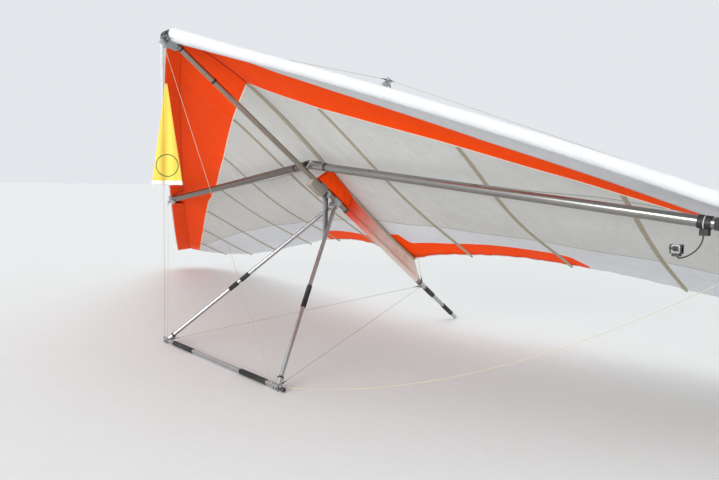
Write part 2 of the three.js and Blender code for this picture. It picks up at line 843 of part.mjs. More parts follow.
// Leading-edge pocket: round the front of the tube, then aft as a lower flap up to the sail
const flapLength = (span) => pocketChord.root + (pocketChord.perMetre * span) / 1000;
function pocket(sign) {
  const columns = 10;
  const rows = sailRows - 1; // the same stations as the sail's, so that their edges run side by side
  const face = (thin) => (i, j) => {
    const station = stationOf(clothFront + (clothEnd - clothFront) * j);
    const edge = edgeAt(1, station);
    const ahead = edgeAt(1, station + 1);
    const slant = hypot(ahead.x - edge.x, ahead.y - edge.y) / (ahead.x - edge.x);
    const chord = trailingAt(edge.x).y - edge.y;
    const radius = (edgeRadius + clothLift + thin) / cos(PI / pocketRound);
    const back = flapLength(edge.x);
    const end = sailAt(1, edge.x, back / chord, sailThickness + flapDrop + thin);
    // the flap leaves the round front where it is tangent to it, seen with the slant taken out
    const far = { y: (back + gap) / slant, z: end.z - edge.z };
    const tangent = 2 * PI + Math.atan2(far.z, far.y) - Math.acos(radius / hypot(far.y, far.z));
    if (i === 1) return at(sign * edge.x, edge.y + back, end.z);
    const angle = PI / 2 + (i / (1 - 1 / columns)) * (tangent - PI / 2);
    return at(sign * edge.x, edge.y - gap + radius * slant * cos(angle), edge.z + radius * sin(angle));
  };
  return between(columns, rows, face(sailThickness), face(0));
}

// Both open up round the crossbar's bracket, and the sail round the kingpost
const bracketOpening = { radius: 46, outboard: 40, inboard: 330, along: 66 };
const postSlot = { width: kingpostWidth + 10, length: kingpostChord + 12, height: 500, z: 200 };
const openings = (sign) => [
  rod(
    towards(crossbarAim(sign), crossbarInner(sign), -bracketOpening.outboard),
    towards(crossbarAim(sign), crossbarInner(sign), bracketOpening.inboard),
    bracketOpening.radius,
    20,
  ),
  rod(
    edgeAt(sign, junctionAt - bracketOpening.along),
    edgeAt(sign, junctionAt + bracketOpening.along),
    bracketOpening.radius,
    20,
  ),
];
for (const { name, sign } of sides) {
  const slot = block([postSlot.width, postSlot.length, postSlot.height], [0, kingpostY, postSlot.z]);
  add(`sail_${name}`, cut(sailHalf(sign), ...openings(sign), slot), whiteCloth);
  add(`edge_pocket_${name}`, cut(pocket(sign), ...openings(sign)), whiteCloth);
}

// Keel pocket: a sleeve on the keel and a web up to the sail
const keelPocket = { start: 1990, end: 3120, steps: 12, wall: 2, tail: 3, seam: 1.5 };
const sailBack = 2940;
const rootChord = trailingAt(0).y - edgeAt(1, stationOf(0)).y;
const rootPlace = (y) => (y - edgeAt(1, stationOf(0)).y) / rootChord;
function keelWeb(start, end, steps) {
  const half = sailThickness / 2;
  const face = (x) => (i, j) => {
    const y = start + (end - start) * i;
    const under = sailAt(1, 0, rootPlace(min(y, sailBack)), sailThickness + gap + keelPocket.seam).z;
    const foot = keelRadius + 1;
    const taper = max(0, (y - sailBack) / (end - sailBack));
    return at(x, y, foot + ((under - foot) * (1 - taper) + keelPocket.tail * taper) * j);
  };
  return between(steps, 1, face(half), face(-half));
}
add(
  "keel_pocket",
  cut(
    joined(
      onKeel(keelPocket.start, keelPocket.end, keelRadius + gap + keelPocket.wall),
      keelWeb(keelPocket.start, keelPocket.end, keelPocket.steps),
    ),
    onKeel(keelPocket.start - past, keelPocket.end + past, keelRadius + gap),
  ),
  orangeCloth,
);

// A small camera on a bent arm, clamped to the left half of the crossbar
const clampSpan = 2930;
const onCrossbar = (span) => {
  const from = crossbarInner(1);
  const to = crossbarAim(1);
  return from.lerp(to, (span - from.x) / (to.x - from.x));
};
const parked = (point) => point.clone().applyAxisAngle(at(1, 0, 0), -pitch).add(wing.position);
const clampBox = onCrossbar(clampSpan).addScaledVector(down, crossbarRadius + 20);
const clampBoxSize = { length: 44, height: 34 };
const clampBand = { half: 32, wall: 5 };
add(
  "camera_clamp",
  cut(
    joined(
      rod(
        onCrossbar(clampSpan - clampBand.half),
        onCrossbar(clampSpan + clampBand.half),
        crossbarRadius + clampBand.wall,
        16,
      ),
      block(
        [clampBoxSize.length, clampBoxSize.height, clampBoxSize.height],
        clampBox.toArray(),
        pitch,
      ),
    ),
    rod(onCrossbar(clampSpan - past), onCrossbar(clampSpan + past), crossbarRadius + 3 * gap, 16),
  ),
  blackPlastic,
);
const arm = { radius: 4, drop: 95, rise: 28, x: -88, y: -95, z: -107 };
const above = (point, rise) => point.clone().add(at(0, 0, rise));
const armStart = above(parked(clampBox), -clampBoxSize.height / 2 - gap).add(at(-6, 0, 0));
const armFoot = armStart.clone().add(at(arm.x, arm.y, arm.z));
const armBend = new THREE.CubicBezierCurve3(
  armStart,
  above(armStart, -arm.drop),
  above(armFoot, -arm.rise),
  armFoot,
);
add("camera_arm", tubeAlong(armBend, arm.radius, 12, 4), blackPlastic, glider);
const cameraBase = { x: 40, y: 30, z: 14 };
const cameraCase = { x: 60, y: 30, z: 46, lens: 12 };
add(
  "camera_foot",
  block(
    [cameraBase.x, cameraBase.y, cameraBase.z],
    above(armFoot, cameraBase.z / 2 + gap).toArray(),
  ),
  blackPlastic,
  glider,
);
const cameraMiddle = above(armFoot, cameraBase.z + 2 * gap + cameraCase.z / 2);
const lensFront = cameraMiddle.clone().add(at(-8, -24, 3));
add(
  "camera",
  joined(
    block([cameraCase.x, cameraCase.y, cameraCase.z], cameraMiddle.toArray()),
    rod(cameraMiddle, lensFront, cameraCase.lens, 16),
  ),
  { color: 0x8d9297, metalness: 0.1, roughness: 0.3 },
  glider,
);

// A pennant hung under the right leading edge, upright while the glider is pitched
const pennantAt = 650;
const pennant = { height: 790, top: 14, bottom: 245, thickness: 2.4, turn: 49.5 * degrees, under: 6.2 };
const hanging = above(parked(edgeAt(-1, pennantAt)), -edgeRadius - pennant.under);
function pennantFace(offset) {
  return (i, j) => {
    const half = (pennant.top + (pennant.bottom - pennant.top) * j) / 2;
    const across = (2 * i - 1) * half;
    return at(
      hanging.x + across * cos(pennant.turn) - offset * sin(pennant.turn),
      hanging.y + across * sin(pennant.turn) + offset * cos(pennant.turn),
      hanging.z - pennant.height * j,
    );
  };
}
add(
  "pennant",
  between(4, 6, pennantFace(pennant.thickness / 2), pennantFace(-pennant.thickness / 2)),
  { color: 0xe9e5b0, metalness: 0, roughness: 0.85 },
  glider,
);

// The origin is on the ground, under the middle of the glider
const extent = new THREE.Box3().setFromObject(glider, true);
for (const child of glider.children) child.position.y -= (extent.min.y + extent.max.y) / 2;

export default glider;
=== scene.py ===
# A kingposted hang glider for two, parked nose up on its base bar and the tail of its keel. Metres, +Z up.
# The wing's own axes are x to the left wing, y aft from the nose and z up from the keel's axis.
import bmesh
import bpy
import numpy as np
from mathutils import Matrix, Vector


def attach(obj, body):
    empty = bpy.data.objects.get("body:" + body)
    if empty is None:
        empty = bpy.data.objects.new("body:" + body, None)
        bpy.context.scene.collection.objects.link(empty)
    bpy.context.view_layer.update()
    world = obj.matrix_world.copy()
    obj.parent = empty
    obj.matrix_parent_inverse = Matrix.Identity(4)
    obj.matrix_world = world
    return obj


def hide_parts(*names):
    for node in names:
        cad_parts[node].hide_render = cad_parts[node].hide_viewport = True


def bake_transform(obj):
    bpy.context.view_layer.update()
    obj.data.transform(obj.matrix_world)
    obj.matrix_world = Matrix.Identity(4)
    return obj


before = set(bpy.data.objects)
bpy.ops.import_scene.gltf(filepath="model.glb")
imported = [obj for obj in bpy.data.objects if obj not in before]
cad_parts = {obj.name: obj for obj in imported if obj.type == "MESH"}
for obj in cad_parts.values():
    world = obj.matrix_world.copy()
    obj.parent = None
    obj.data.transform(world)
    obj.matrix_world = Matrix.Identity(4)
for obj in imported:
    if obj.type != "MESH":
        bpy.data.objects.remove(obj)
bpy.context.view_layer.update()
print("frame loaded")

pi = np.pi
sides = (("left", 1), ("right", -1))

# Camera, at the photograph's viewing angle
cameraView = {
    "place": (4.329, -3.535, 1.330), "yaw": 49.24, "pitch": -4.84, "roll": 0.54, "lens": 33.3, "sensor": 36,
}


def makeCamera(v):
    yaw, pitch, roll = np.radians([v["yaw"], v["pitch"], v["roll"]])
    ahead = Vector((-np.sin(yaw) * np.cos(pitch), np.cos(yaw) * np.cos(pitch), np.sin(pitch)))
    right = ahead.cross(Vector((0, 0, 1))).normalized()
    up = right.cross(ahead)
    right, up = (right * np.cos(roll) + up * np.sin(roll), up * np.cos(roll) - right * np.sin(roll))
    data = bpy.data.cameras.new("camera_view")
    data.sensor_fit = "HORIZONTAL"
    data.sensor_width = v["sensor"]
    data.lens = v["lens"]
    camera = bpy.data.objects.new("camera_view", data)
    bpy.context.scene.collection.objects.link(camera)
    turn = Matrix((right, up, -ahead)).transposed().to_4x4()
    camera.matrix_world = Matrix.Translation(v["place"]) @ turn
    bpy.context.scene.camera = camera


makeCamera(cameraView)

# Wing lines
wing = {
    "pitch": 37.5, "aft": -1.54544, "lift": 2.32228, "noseHalfAngle": 61.9, "edgeRoot": (0.04, 0.03),
    "edgeSweep": 0.0136, "edgeRise": 0.0376, "edgeDroop": -0.0074, "flatNose": 0.13, "edgeRadius": 0.025,
    "junction": 3.73, "crossbarDrop": 0.046, "tangOver": 0.040, "tangUnder": 0.094,
    "battens": (0, 0.60, 1.46, 2.27, 3.30, 4.07, 4.70, 5.177), "battenFronts": (0.58, 1.49, 2.40, 3.34, 4.08, 4.70),
    "trailingAft": (2.948, -0.0694, 0.1627, -0.0242), "trailingUp": (0.1375, 0.2212, -0.0537, 0.0022),
    "scallop": 0.022,
}
park = np.radians(wing["pitch"])
halfAngle = np.radians(wing["noseHalfAngle"])
battenSpans = np.array(wing["battens"])  # at the trailing edge


def vec(*numbers):
    return np.array(numbers, float)


def unit(v):
    v = np.asarray(v, float)
    return v / np.linalg.norm(v, axis=-1, keepdims=True)


def parked(p):  # the wing's axes, pitched nose up and set on the ground
    x, y, z = np.moveaxis(np.asarray(p, float), -1, 0)
    aft = y * np.cos(park) + z * np.sin(park) + wing["aft"]
    return np.stack([x, aft, wing["lift"] - y * np.sin(park) + z * np.cos(park)], -1)


def parkedWay(p):
    return parked(p) - parked(vec(0, 0, 0))


def mirrored(p, sign):
    return p * vec(sign, 1, 1)


def edgeAt(s, sign=1):  # a leading edge's axis: straight, bent aft and drooped with the square of the length
    s = np.asarray(s, float)
    x = wing["edgeRoot"][0] + s * np.sin(halfAngle)
    y = wing["edgeRoot"][1] + s * np.cos(halfAngle) + wing["edgeSweep"] * s * s
    z = wing["edgeRise"] * np.maximum(0, s - wing["flatNose"]) + wing["edgeDroop"] * s * s
    return np.stack([sign * x, y, z], -1)


def stationOf(span):
    return (span - wing["edgeRoot"][0]) / np.sin(halfAngle)


def betweenBattens(span):  # 0 on a batten, 1 halfway to the next
    i = np.clip(np.searchsorted(battenSpans, span, side="right") - 1, 0, len(battenSpans) - 2)
    part = (span - battenSpans[i]) / (battenSpans[i + 1] - battenSpans[i])
    return np.sin(pi * np.clip(part, 0, 1)) ** 2


def cubic(numbers, x):  # each number times the next power of x, added up
    return sum(k * x**n for n, k in enumerate(numbers))


def trailingAft(span):  # drawn in between the battens' ends
    return cubic(wing["trailingAft"], span) - wing["scallop"] * betweenBattens(span)


def trailingUp(span):
    return cubic(wing["trailingUp"], span)


wingAxes = parkedWay(np.eye(3))  # rows: the wing's x, y and z in the world
sideWay, keelWay, upWay = vec(1, 0, 0), wingAxes[1], wingAxes[2]
plumb, forward = vec(0, 0, -1), vec(0, -1, 0)
junction = edgeAt(wing["junction"])
spots = {  # in the wing's axes, on the left where there are two
    "corner": vec(0.819, 1.680, -1.61033), "apex": vec(0.025, 1.870, -0.062), "kingTip": vec(0, 1.690, 1.190),
    "noseTop": vec(0, 0.070, 0.037), "rearTang": vec(0, 3.194, 0), "hangPin": vec(0, 1.752, -0.037),
    "crossbarRoot": vec(0.040, 1.470, 0.057), "crossbarEnd": junction - vec(0, 0, wing["crossbarDrop"]),
    "topTang": junction + vec(0, 0, wing["tangOver"]), "lowTang": junction - vec(0, 0, wing["tangUnder"]),
}

# The sail's surface. Behind its front fifth the slack cloth hangs, most near the second batten, and the keel holds
# it up. The cloth lifts over the bracket's ring at the crossbar's end.
surface = {
    "top": 0.0292, "start": 0.128, "end": 5.823, "noseBack": 0.132, "thick": 0.003,
    "camber": ((0, 0.6), (0.045, 0.020)), "camberAft": 2.6, "camberPeak": 0.1192, "sag": 0.014, "sagReach": 0.75,
    "pucker": 0.004, "puckerReach": 0.06, "puckerWaves": (38, 9), "tipFold": 0.004, "tipFrom": 4.1,
    "tipWaves": (24, 31),
}
hang = {"depth": 0.070, "span": 1.4, "reach": 1.1, "keel": 0.3, "from": 0.2, "roundness": 1.5}
ringLift = {"lift": 0.009, "along": 0.085, "aft": 0.07}


def bell(x, reach):  # e to the power of minus the squared distance in reaches
    return np.exp(-((x / reach) ** 2))


def ringLiftAt(span):  # a bell along the edge over the crossbar's end
    return ringLift["lift"] * bell(stationOf(span) - wing["junction"], ringLift["along"])


def hangAt(span, t):  # a rounded half sine along the chord, times a bell over the span
    behind = np.maximum(0, (t - hang["from"]) / (1 - hang["from"]))
    along = np.maximum(0, np.sin(pi * behind)) ** hang["roundness"]
    return hang["depth"] * along * bell(span - hang["span"], hang["reach"]) * (1 - bell(span, hang["keel"]))


def sailAt(span, aft, lift=0.0):  # straight chord, a batten's curve over it and a light sag between battens
    k = surface
    span, aft = np.broadcast_arrays(np.asarray(span, float), np.asarray(aft, float))
    edge = edgeAt(stationOf(span))
    behind = aft - edge[..., 1]
    chord = trailingAft(span) - edge[..., 1]
    t = np.clip(behind / chord, 0, 1)
    z = (edge[..., 2] + k["top"]) * (1 - t) + trailingUp(span) * t
    z = z + np.interp(span, *k["camber"]) * chord * t * (1 - t) ** k["camberAft"] / k["camberPeak"] - hangAt(span, t)
    z = z - k["sag"] * betweenBattens(span) * np.sin(pi * t * k["sagReach"]) ** 2
    waves = np.sin(span * k["puckerWaves"][0]) * np.sin(span * k["puckerWaves"][1] + 1)
    z = z + k["pucker"] * bell(t - 1, k["puckerReach"]) * waves
    folds = np.sin(aft * k["tipWaves"][0] + span * k["tipWaves"][1])
    z = z + k["tipFold"] * folds * np.clip(span - k["tipFrom"], 0, 1) * np.sin(pi * t)
    z = z + ringLiftAt(span) * bell(behind, ringLift["aft"])
    return np.stack([span, aft, z + lift - k["thick"] / 2], -1)


# Mesh making
def circle(radius, around):  # points a radius from nought at even angles
    a = np.arange(around) * 2 * pi / around
    return np.stack([radius * np.cos(a), radius * np.sin(a)], -1)


def anyUp(way):
    return vec(0, 0, 1) if abs(unit(way)[2]) < 0.8 else vec(0, 1, 0)


def spokes(way, count):  # directions square to an axis, all the way round it
    first = unit(np.cross(way, anyUp(way)))
    a = np.arange(count)[:, None] * 2 * pi / count
    return np.cos(a) * first + np.sin(a) * np.cross(way, first)


def capped(p):  # the first and last rows closed on their own centres
    ends = [np.broadcast_to(e.mean(0), e.shape)[None] for e in (p[0], p[-1])]
    return np.concatenate([ends[0], p, ends[1]])


class Heap:
    # gathers surfaces into one mesh: points, faces, the faces' own UV and their material's number
    def __init__(self):
        self.points, self.faces, self.uvs, self.slots, self.count = [], [], [], [], 0

    def grid(self, p, closed=False, uv=None, slot=0):  # rows by columns of points; closed joins the last column
        rows, columns = p.shape[:2]
        wide = columns if closed else columns - 1
        i, j = np.meshgrid(np.arange(rows - 1), np.arange(wide), indexing="ij")
        after = (j + 1) % columns
        quads = [i * columns + j, i * columns + after, (i + 1) * columns + after, (i + 1) * columns + j]
        if uv is None:
            around = np.linalg.norm(np.roll(p, -1, 1) - p, axis=-1).mean(0)
            along = np.linalg.norm(np.diff(p, axis=0), axis=-1).mean(1)
            u = np.concatenate([[0], np.cumsum(around)])[: wide + 1]
            v = np.concatenate([[0], np.cumsum(along)])
            uv = np.stack(np.meshgrid(v, u, indexing="ij"), -1)[..., ::-1]
        corner = [uv[i, j], uv[i, j + 1], uv[i + 1, j + 1], uv[i + 1, j]]
        self.uvs.append(np.stack(corner, -2).reshape(-1, 2))
        self.faces.append(np.stack(quads, -1).reshape(-1, 4) + self.count)
        self.points.append(p.reshape(-1, 3))
        self.slots.append(np.broadcast_to(slot, (rows - 1, wide)).reshape(-1).astype(int))
        self.count += rows * columns

    def tube(self, path, profile, up, slot=0, loop=False, sizes=1.0):
        # a profile carried along a path: across is the path's way times up, and each ring has its own size
        path = np.asarray(path, float)
        way = unit(np.roll(path, -1, 0) - np.roll(path, 1, 0) if loop else np.gradient(path, axis=0))
        across = unit(np.cross(way, np.asarray(up, float)))
        over = np.cross(across, way)
        shape = profile * (np.ones(len(path)) * sizes)[:, None, None]
        p = path[:, None] + shape[..., :1] * across[:, None] + shape[..., 1:] * over[:, None]
        self.grid(np.concatenate([p, p[:1]]) if loop else capped(p), closed=True, slot=slot)

    def turn(self, centre, way, profile, around=20, slot=0):  # a profile of height and radius, round an axis
        way = unit(way)
        h, r = np.array(profile, float).T[..., None, None]
        self.grid(vec(*centre) + h * way + r * spokes(way, around), closed=True, slot=slot)

    def ring(self, centre, way, radius, wire, around=28, section=10, slot=0):  # a circle carried round a circle
        path = vec(*centre) + radius * spokes(unit(way), around)
        self.tube(path, circle(wire, section), unit(way), slot, loop=True)

    def block(self, centre, size, radius, axes=np.eye(3), slot=0, steps=4):
        # a ball's quarters moved out to the corners of a block, with a centre point on the two flat ends
        half = vec(*size) / 2 - radius
        quarter = np.linspace(0, pi / 2, steps)
        a = np.concatenate([q * pi / 2 + quarter for q in range(4)])
        lat = np.concatenate([quarter - pi / 2, quarter])[:, None]
        x = half[0] * np.repeat([1, -1, -1, 1], steps) + radius * np.cos(lat) * np.cos(a)
        y = half[1] * np.repeat([1, 1, -1, -1], steps) + radius * np.cos(lat) * np.sin(a)
        z = half[2] * np.repeat([-1, 1], steps)[:, None] + radius * np.sin(lat) + 0 * x
        self.grid(vec(*centre) + capped(np.stack([x, y, z], -1)) @ axes, closed=True, slot=slot)

    def build(self, name, materials, body=None, slot=None, sharp=38, thick=0.0):
        mesh = bpy.data.meshes.new(name)
        faces = np.concatenate(self.faces)
        mesh.from_pydata(np.concatenate(self.points).tolist(), [], faces.tolist())
        layer = mesh.uv_layers.new(name="UVMap")
        layer.data.foreach_set("uv", np.concatenate(self.uvs).astype(np.float32).ravel())
        for m in materials:
            mesh.materials.append(m)
        mesh.polygons.foreach_set("material_index", np.concatenate(self.slots).astype(np.int32))
        work = bmesh.new()
        work.from_mesh(mesh)
        bmesh.ops.remove_doubles(work, verts=work.verts, dist=1e-6)
        bmesh.ops.dissolve_degenerate(work, edges=work.edges, dist=1e-7)
        bmesh.ops.recalc_face_normals(work, faces=work.faces)
        work.to_mesh(mesh)
        work.free()
        mesh.shade_smooth()
        mesh.set_sharp_from_angle(angle=np.radians(sharp))
        piece = bpy.data.objects.new(name, mesh)
        bpy.context.scene.collection.objects.link(piece)
        if thick:
            wall = piece.modifiers.new("wall", "SOLIDIFY")
            wall.thickness = thick
            wall.offset = 0.0
            wall.use_even_offset = True
        if body:
            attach(piece, body)
        return piece


def gridArea(p):  # half of each face's crossed diagonals, added up
    a, b, c, d = p[:-1, :-1], p[:-1, 1:], p[1:, 1:], p[1:, :-1]
    return float(0.5 * np.linalg.norm(np.cross(c - a, d - b), axis=-1).sum())


def clothPiece(name, grids, materials, kind, wall, node=None, sharp=60):
    # one piece from grids with their own UV and materials' numbers, standing for its CAD node
    heap = Heap()
    for p, uv, slots in grids:
        heap.grid(p, uv=uv, slot=slots)
    piece = heap.build(name, materials, "airframe", kind, sharp, wall)
    if node:
        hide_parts(node)
    return piece, sum(gridArea(p) for p, uv, slots in grids)


# Node groups for what several materials share
groups = {}


def linear(r, g, b):  # a colour as the eye reads it, 0 to 255, for the shader
    c = vec(r, g, b) / 255
    return tuple(float(k) for k in np.where(c <= 0.04045, c / 12.92, ((c + 0.055) / 1.055) ** 2.4)) + (1.0,)


def newNode(tree, kind, inputs, **settings):  # a number, place or colour is set on its socket, the rest is linked
    node = tree.nodes.new("ShaderNode" + kind)
    for label, value in settings.items():
        setattr(node, label, value)
    for label, value in inputs.items():
        if isinstance(value, (int, float, tuple)):
            node.inputs[label].default_value = value
        else:
            tree.links.new(value, node.inputs[label])
    return node.outputs


def mathNode(tree, how, *values):
    return newNode(tree, "Math", dict(enumerate(values)), operation=how)[0]


def noiseNode(tree, vector, scale, detail=3, rough=0.5):
    return newNode(tree, "TexNoise", {"Vector": vector, "Scale": scale, "Detail": detail, "Roughness": rough})[0]


def stretched(tree, vector, scale):
    return newNode(tree, "Mapping", {"Vector": vector, "Scale": scale})[0]


def mixColour(tree, mask, a, b):
    return newNode(tree, "Mix", {"Factor": mask, 6: a, 7: b}, data_type="RGBA")[2]


def shared(tree, a, b, part):  # a part of one value and the rest of another
    return mathNode(tree, "MULTIPLY_ADD", a, part, mathNode(tree, "MULTIPLY", b, 1 - part))


def newGroup(name, numbers, given=("Mask", "Height")):
    group = bpy.data.node_groups.new(name, "ShaderNodeTree")
    group.interface.new_socket(name="Vector", in_out="INPUT", socket_type="NodeSocketVector")
    for label, value in numbers.items():
        socket = group.interface.new_socket(name=label, in_out="INPUT", socket_type="NodeSocketFloat")
        socket.default_value = value
    for label in given:
        group.interface.new_socket(name=label, in_out="OUTPUT", socket_type="NodeSocketFloat")
    groups[name] = group
    return group, group.nodes.new("NodeGroupInput").outputs, group.nodes.new("NodeGroupOutput").inputs


def giveOut(group, out, mask, height):
    group.links.new(mask, out["Mask"])
    group.links.new(height, out["Height"])


def makeCloth():  # crossing threads with a heavier thread every few millimetres, and soft creases
    g, given, out = newGroup("woven", {"Pitch": 0.006, "Creases": 1.0})
    split = newNode(g, "SeparateXYZ", {0: given["Vector"]})
    turn = mathNode(g, "DIVIDE", 2 * pi, given["Pitch"])
    threads = [mathNode(g, "SINE", mathNode(g, "MULTIPLY", split[k], turn)) for k in (0, 1)]
    lines = [mathNode(g, "POWER", mathNode(g, "ABSOLUTE", t), 14) for t in threads]
    crease = noiseNode(g, stretched(g, given["Vector"], (3.2, 1.1, 1)), 2.2, 4, 0.55)
    soft = noiseNode(g, given["Vector"], 11)
    creased = mathNode(g, "MULTIPLY", crease, given["Creases"])
    height = mathNode(g, "MULTIPLY_ADD", mathNode(g, "MAXIMUM", *lines), 0.02, creased)
    giveOut(g, out, shared(g, soft, crease, 0.5), height)


def makeDrawn():  # metal: fine streaks along the mapping's own z, with soft handling marks over them
    g, given, out = newGroup("drawn", {"Scale": 60.0})
    fine = noiseNode(g, stretched(g, given["Vector"], (1, 1, 0.02)), given["Scale"], 4, 0.6)
    giveOut(g, out, shared(g, fine, noiseNode(g, given["Vector"], 6, 5, 0.65), 0.45), fine)


def makeGrain():  # moulded plastic and cast or machined metal
    g, given, out = newGroup("grain", {"Scale": 400.0})
    fine = noiseNode(g, given["Vector"], given["Scale"], 3, 0.6)
    giveOut(g, out, shared(g, fine, noiseNode(g, given["Vector"], 14, 4, 0.6), 0.3), fine)


def makeCells():  # foam: open cells and dents
    g, given, out = newGroup("cells", {"Scale": 320.0})
    cell = newNode(g, "TexVoronoi", {"Vector": given["Vector"], "Scale": given["Scale"]})[0]
    dents = noiseNode(g, given["Vector"], 30)
    giveOut(g, out, shared(g, cell, dents, 0.5), mathNode(g, "ADD", cell, dents))


def makeTwist():  # slanting yarns of webbing and strands of wire, on a UV that runs round and along the piece
    g, given, out = newGroup("twist", {"Pitch": 0.004, "Slant": 1.0})
    split = newNode(g, "SeparateXYZ", {0: given["Vector"]})
    turn = mathNode(g, "DIVIDE", 2 * pi, given["Pitch"])
    slanted = mathNode(g, "MULTIPLY_ADD", split[0], given["Slant"], split[1])
    yarn = mathNode(g, "SINE", mathNode(g, "MULTIPLY", slanted, turn))
    high = mathNode(g, "MULTIPLY_ADD", yarn, 0.5, 0.5)
    giveOut(g, out, high, high)


def makeDust():  # soft patches that settle over any finish
    g, given, out = newGroup("dust", {"Amount": 0.3}, ("Mask",))
    patch = noiseNode(g, given["Vector"], 3.2, 6, 0.7)
    keen = newNode(g, "MapRange", {"Value": patch, "From Min": 0.42, "From Max": 0.75})[0]
    g.links.new(mathNode(g, "MULTIPLY", keen, given["Amount"]), out["Mask"])


for make in (makeCloth, makeDrawn, makeGrain, makeCells, makeTwist, makeDust):
    make()


def finish(name, low, high, rough, kind="grain", metal=0.0, bump=0.1, depth=0.001, dust=0.15,
           dustTone=(178, 170, 155), uv=False, turn=(0, 0, 1), sheen=0.0, coat=0.0, gloss=0.5, extra=None, **size):
    # two tones mixed by the group's mask, dust over them, and the group's height as bump; size goes to the group
    m = bpy.data.materials.new(name)
    m.use_nodes = True
    tree = m.node_tree
    shader = tree.nodes["Principled BSDF"].inputs
    coords = newNode(tree, "TexCoord", {})
    spin = Vector(turn).normalized().rotation_difference(Vector((0, 0, 1)))  # the piece's length to the mapping's z
    place = {"Vector": coords["UV" if uv else "Object"], "Rotation": tuple(spin.to_euler())}
    vector = newNode(tree, "Mapping", place, vector_type="VECTOR")[0]
    pattern = newNode(tree, "Group", {"Vector": vector, **size}, node_tree=groups[kind])
    dusty = newNode(tree, "Group", {"Vector": coords["Object"], "Amount": dust}, node_tree=groups["dust"])
    tone = mixColour(tree, pattern["Mask"], linear(*low), linear(*high))
    if extra:
        tone = extra(tree, coords["UV"], tone)
    tone = mixColour(tree, dusty["Mask"], tone, linear(*dustTone))
    spread = newNode(tree, "MapRange", {"Value": pattern["Mask"], "To Min": rough[0], "To Max": rough[1]})
    relief = newNode(tree, "Bump", {"Strength": bump, "Distance": depth, "Height": pattern["Height"]})
    for label, value in (("Base Color", tone), ("Roughness", spread[0]), ("Normal", relief[0])):
        tree.links.new(value, shader[label])
    for label, value in (("Metallic", metal), ("Specular IOR Level", gloss), ("Sheen Weight", sheen),
                         ("Sheen Roughness", 0.5), ("Coat Weight", coat), ("Coat Roughness", 0.2)):
        shader[label].default_value = value
    return m


def metalFinish(name, low, high, rough, way=None, dust=0.1, metal=0.92):
    if way is None:
        return finish(name, low, high, rough, "grain", metal, 0.06, 0.0006, dust, Scale=260.0)
    return finish(name, low, high, rough, "drawn", metal, 0.05, 0.0004, dust, turn=tuple(way), Scale=90.0)


# Sail cloth
clothTones = {
    "body": ((194, 195, 193), (210, 211, 209), 0.10), "band": ((206, 209, 213), (220, 223, 227), 0.05),
    "orange": ((250, 68, 2), (255, 80, 4), 0.0), "pocket": ((203, 205, 208), (219, 221, 224), 0.05),
    # the pockets' tan: dust and painted shadow of the battens seen through the cloth; the box's lid seam shares it
    "tape_batten_shadow": ((146, 139, 120), (180, 173, 154), 0.1), "piping": ((228, 214, 198), (240, 230, 216), 0.0),
    # the centre tape's front length: a darker orange, as painted shadow along the keel's line
    "seam": ((136, 134, 126), (160, 158, 150), 0.0), "orange_seam_shadow": ((176, 32, 6), (200, 42, 8), 0.0),
}
cloth = {
    name: finish(f"cloth_{name}", low, high, (0.66, 0.78), "woven", 0, 0.6, 0.03, dust, (176, 168, 144), uv=True,
                 gloss=0.1, Pitch=0.012, Creases=1.6)
    for name, (low, high, dust) in clothTones.items()
}
# Orange along the edge, the wide body, a pale band and at its back the inner wing's orange stripe. The post's
# opening lies on the keel's line.
sail = {
    "stations": 150, "columns": (20, 26, 12, 5), "frontPower": 1.2, "inner": 0.0002, "wall": 0.0012,
    "closeSpans": (0.02, 0.05, 0.1, 0.13, 1.60, 1.61, 1.617, 1.625, 1.64, 3.25, 3.29, 3.33, 3.37, 3.41),
    "orangeBack": ((0, 0.5, 1.5, 2.4, 2.75, 3.0, 4.2, 5.1, 5.3),
                   (0.65, 0.635, 0.62, 0.58, 0.54, 0.49, 0.42, 0.34, 0.3)),
    "bandStart": 2.32, "bandSlope": 0.2146, "bandGaps": (0.004, 0.05),
    "stripe": ((0, 0.10, 0.15, 0.5, 1.47, 1.56, 1.617, 1.64, 6),
               (0.42, 0.39, 0.237, 0.21, 0.23, 0.20, 0.076, 0.03, 0.03)), "stripeGap": 0.002, "stripeEnd": 1.625,
    "post": 1.69, "postHalf": 0.040, "postWide": 0.0195, "postReach": 0.05, "postColumns": (0.71, 2.32, 0.027, 15),
}


def orangeLine(span):  # a width read off at stations, behind the edge's axis
    return edgeAt(stationOf(span))[..., 1] + np.interp(span, *sail["orangeBack"])


def bandLine(span):  # a straight seam, kept between the orange panel and the trailing edge
    ahead, behind = sail["bandGaps"]
    return np.clip(sail["bandStart"] + sail["bandSlope"] * span, orangeLine(span) + ahead, trailingAft(span) - behind)


def stripeLine(span):  # a width ahead of the trailing edge, never ahead of the band
    return np.maximum(trailingAft(span) - np.interp(span, *sail["stripe"]), bandLine(span) + sail["stripeGap"])


def clothFront(span):  # along the edge's axis, and straight across behind the nose plates
    x, y = edgeAt(surface["start"])[:2]
    nose = surface["noseBack"] + (y - surface["noseBack"]) * span / x
    return np.where(span < x, nose, edgeAt(stationOf(span))[..., 1])


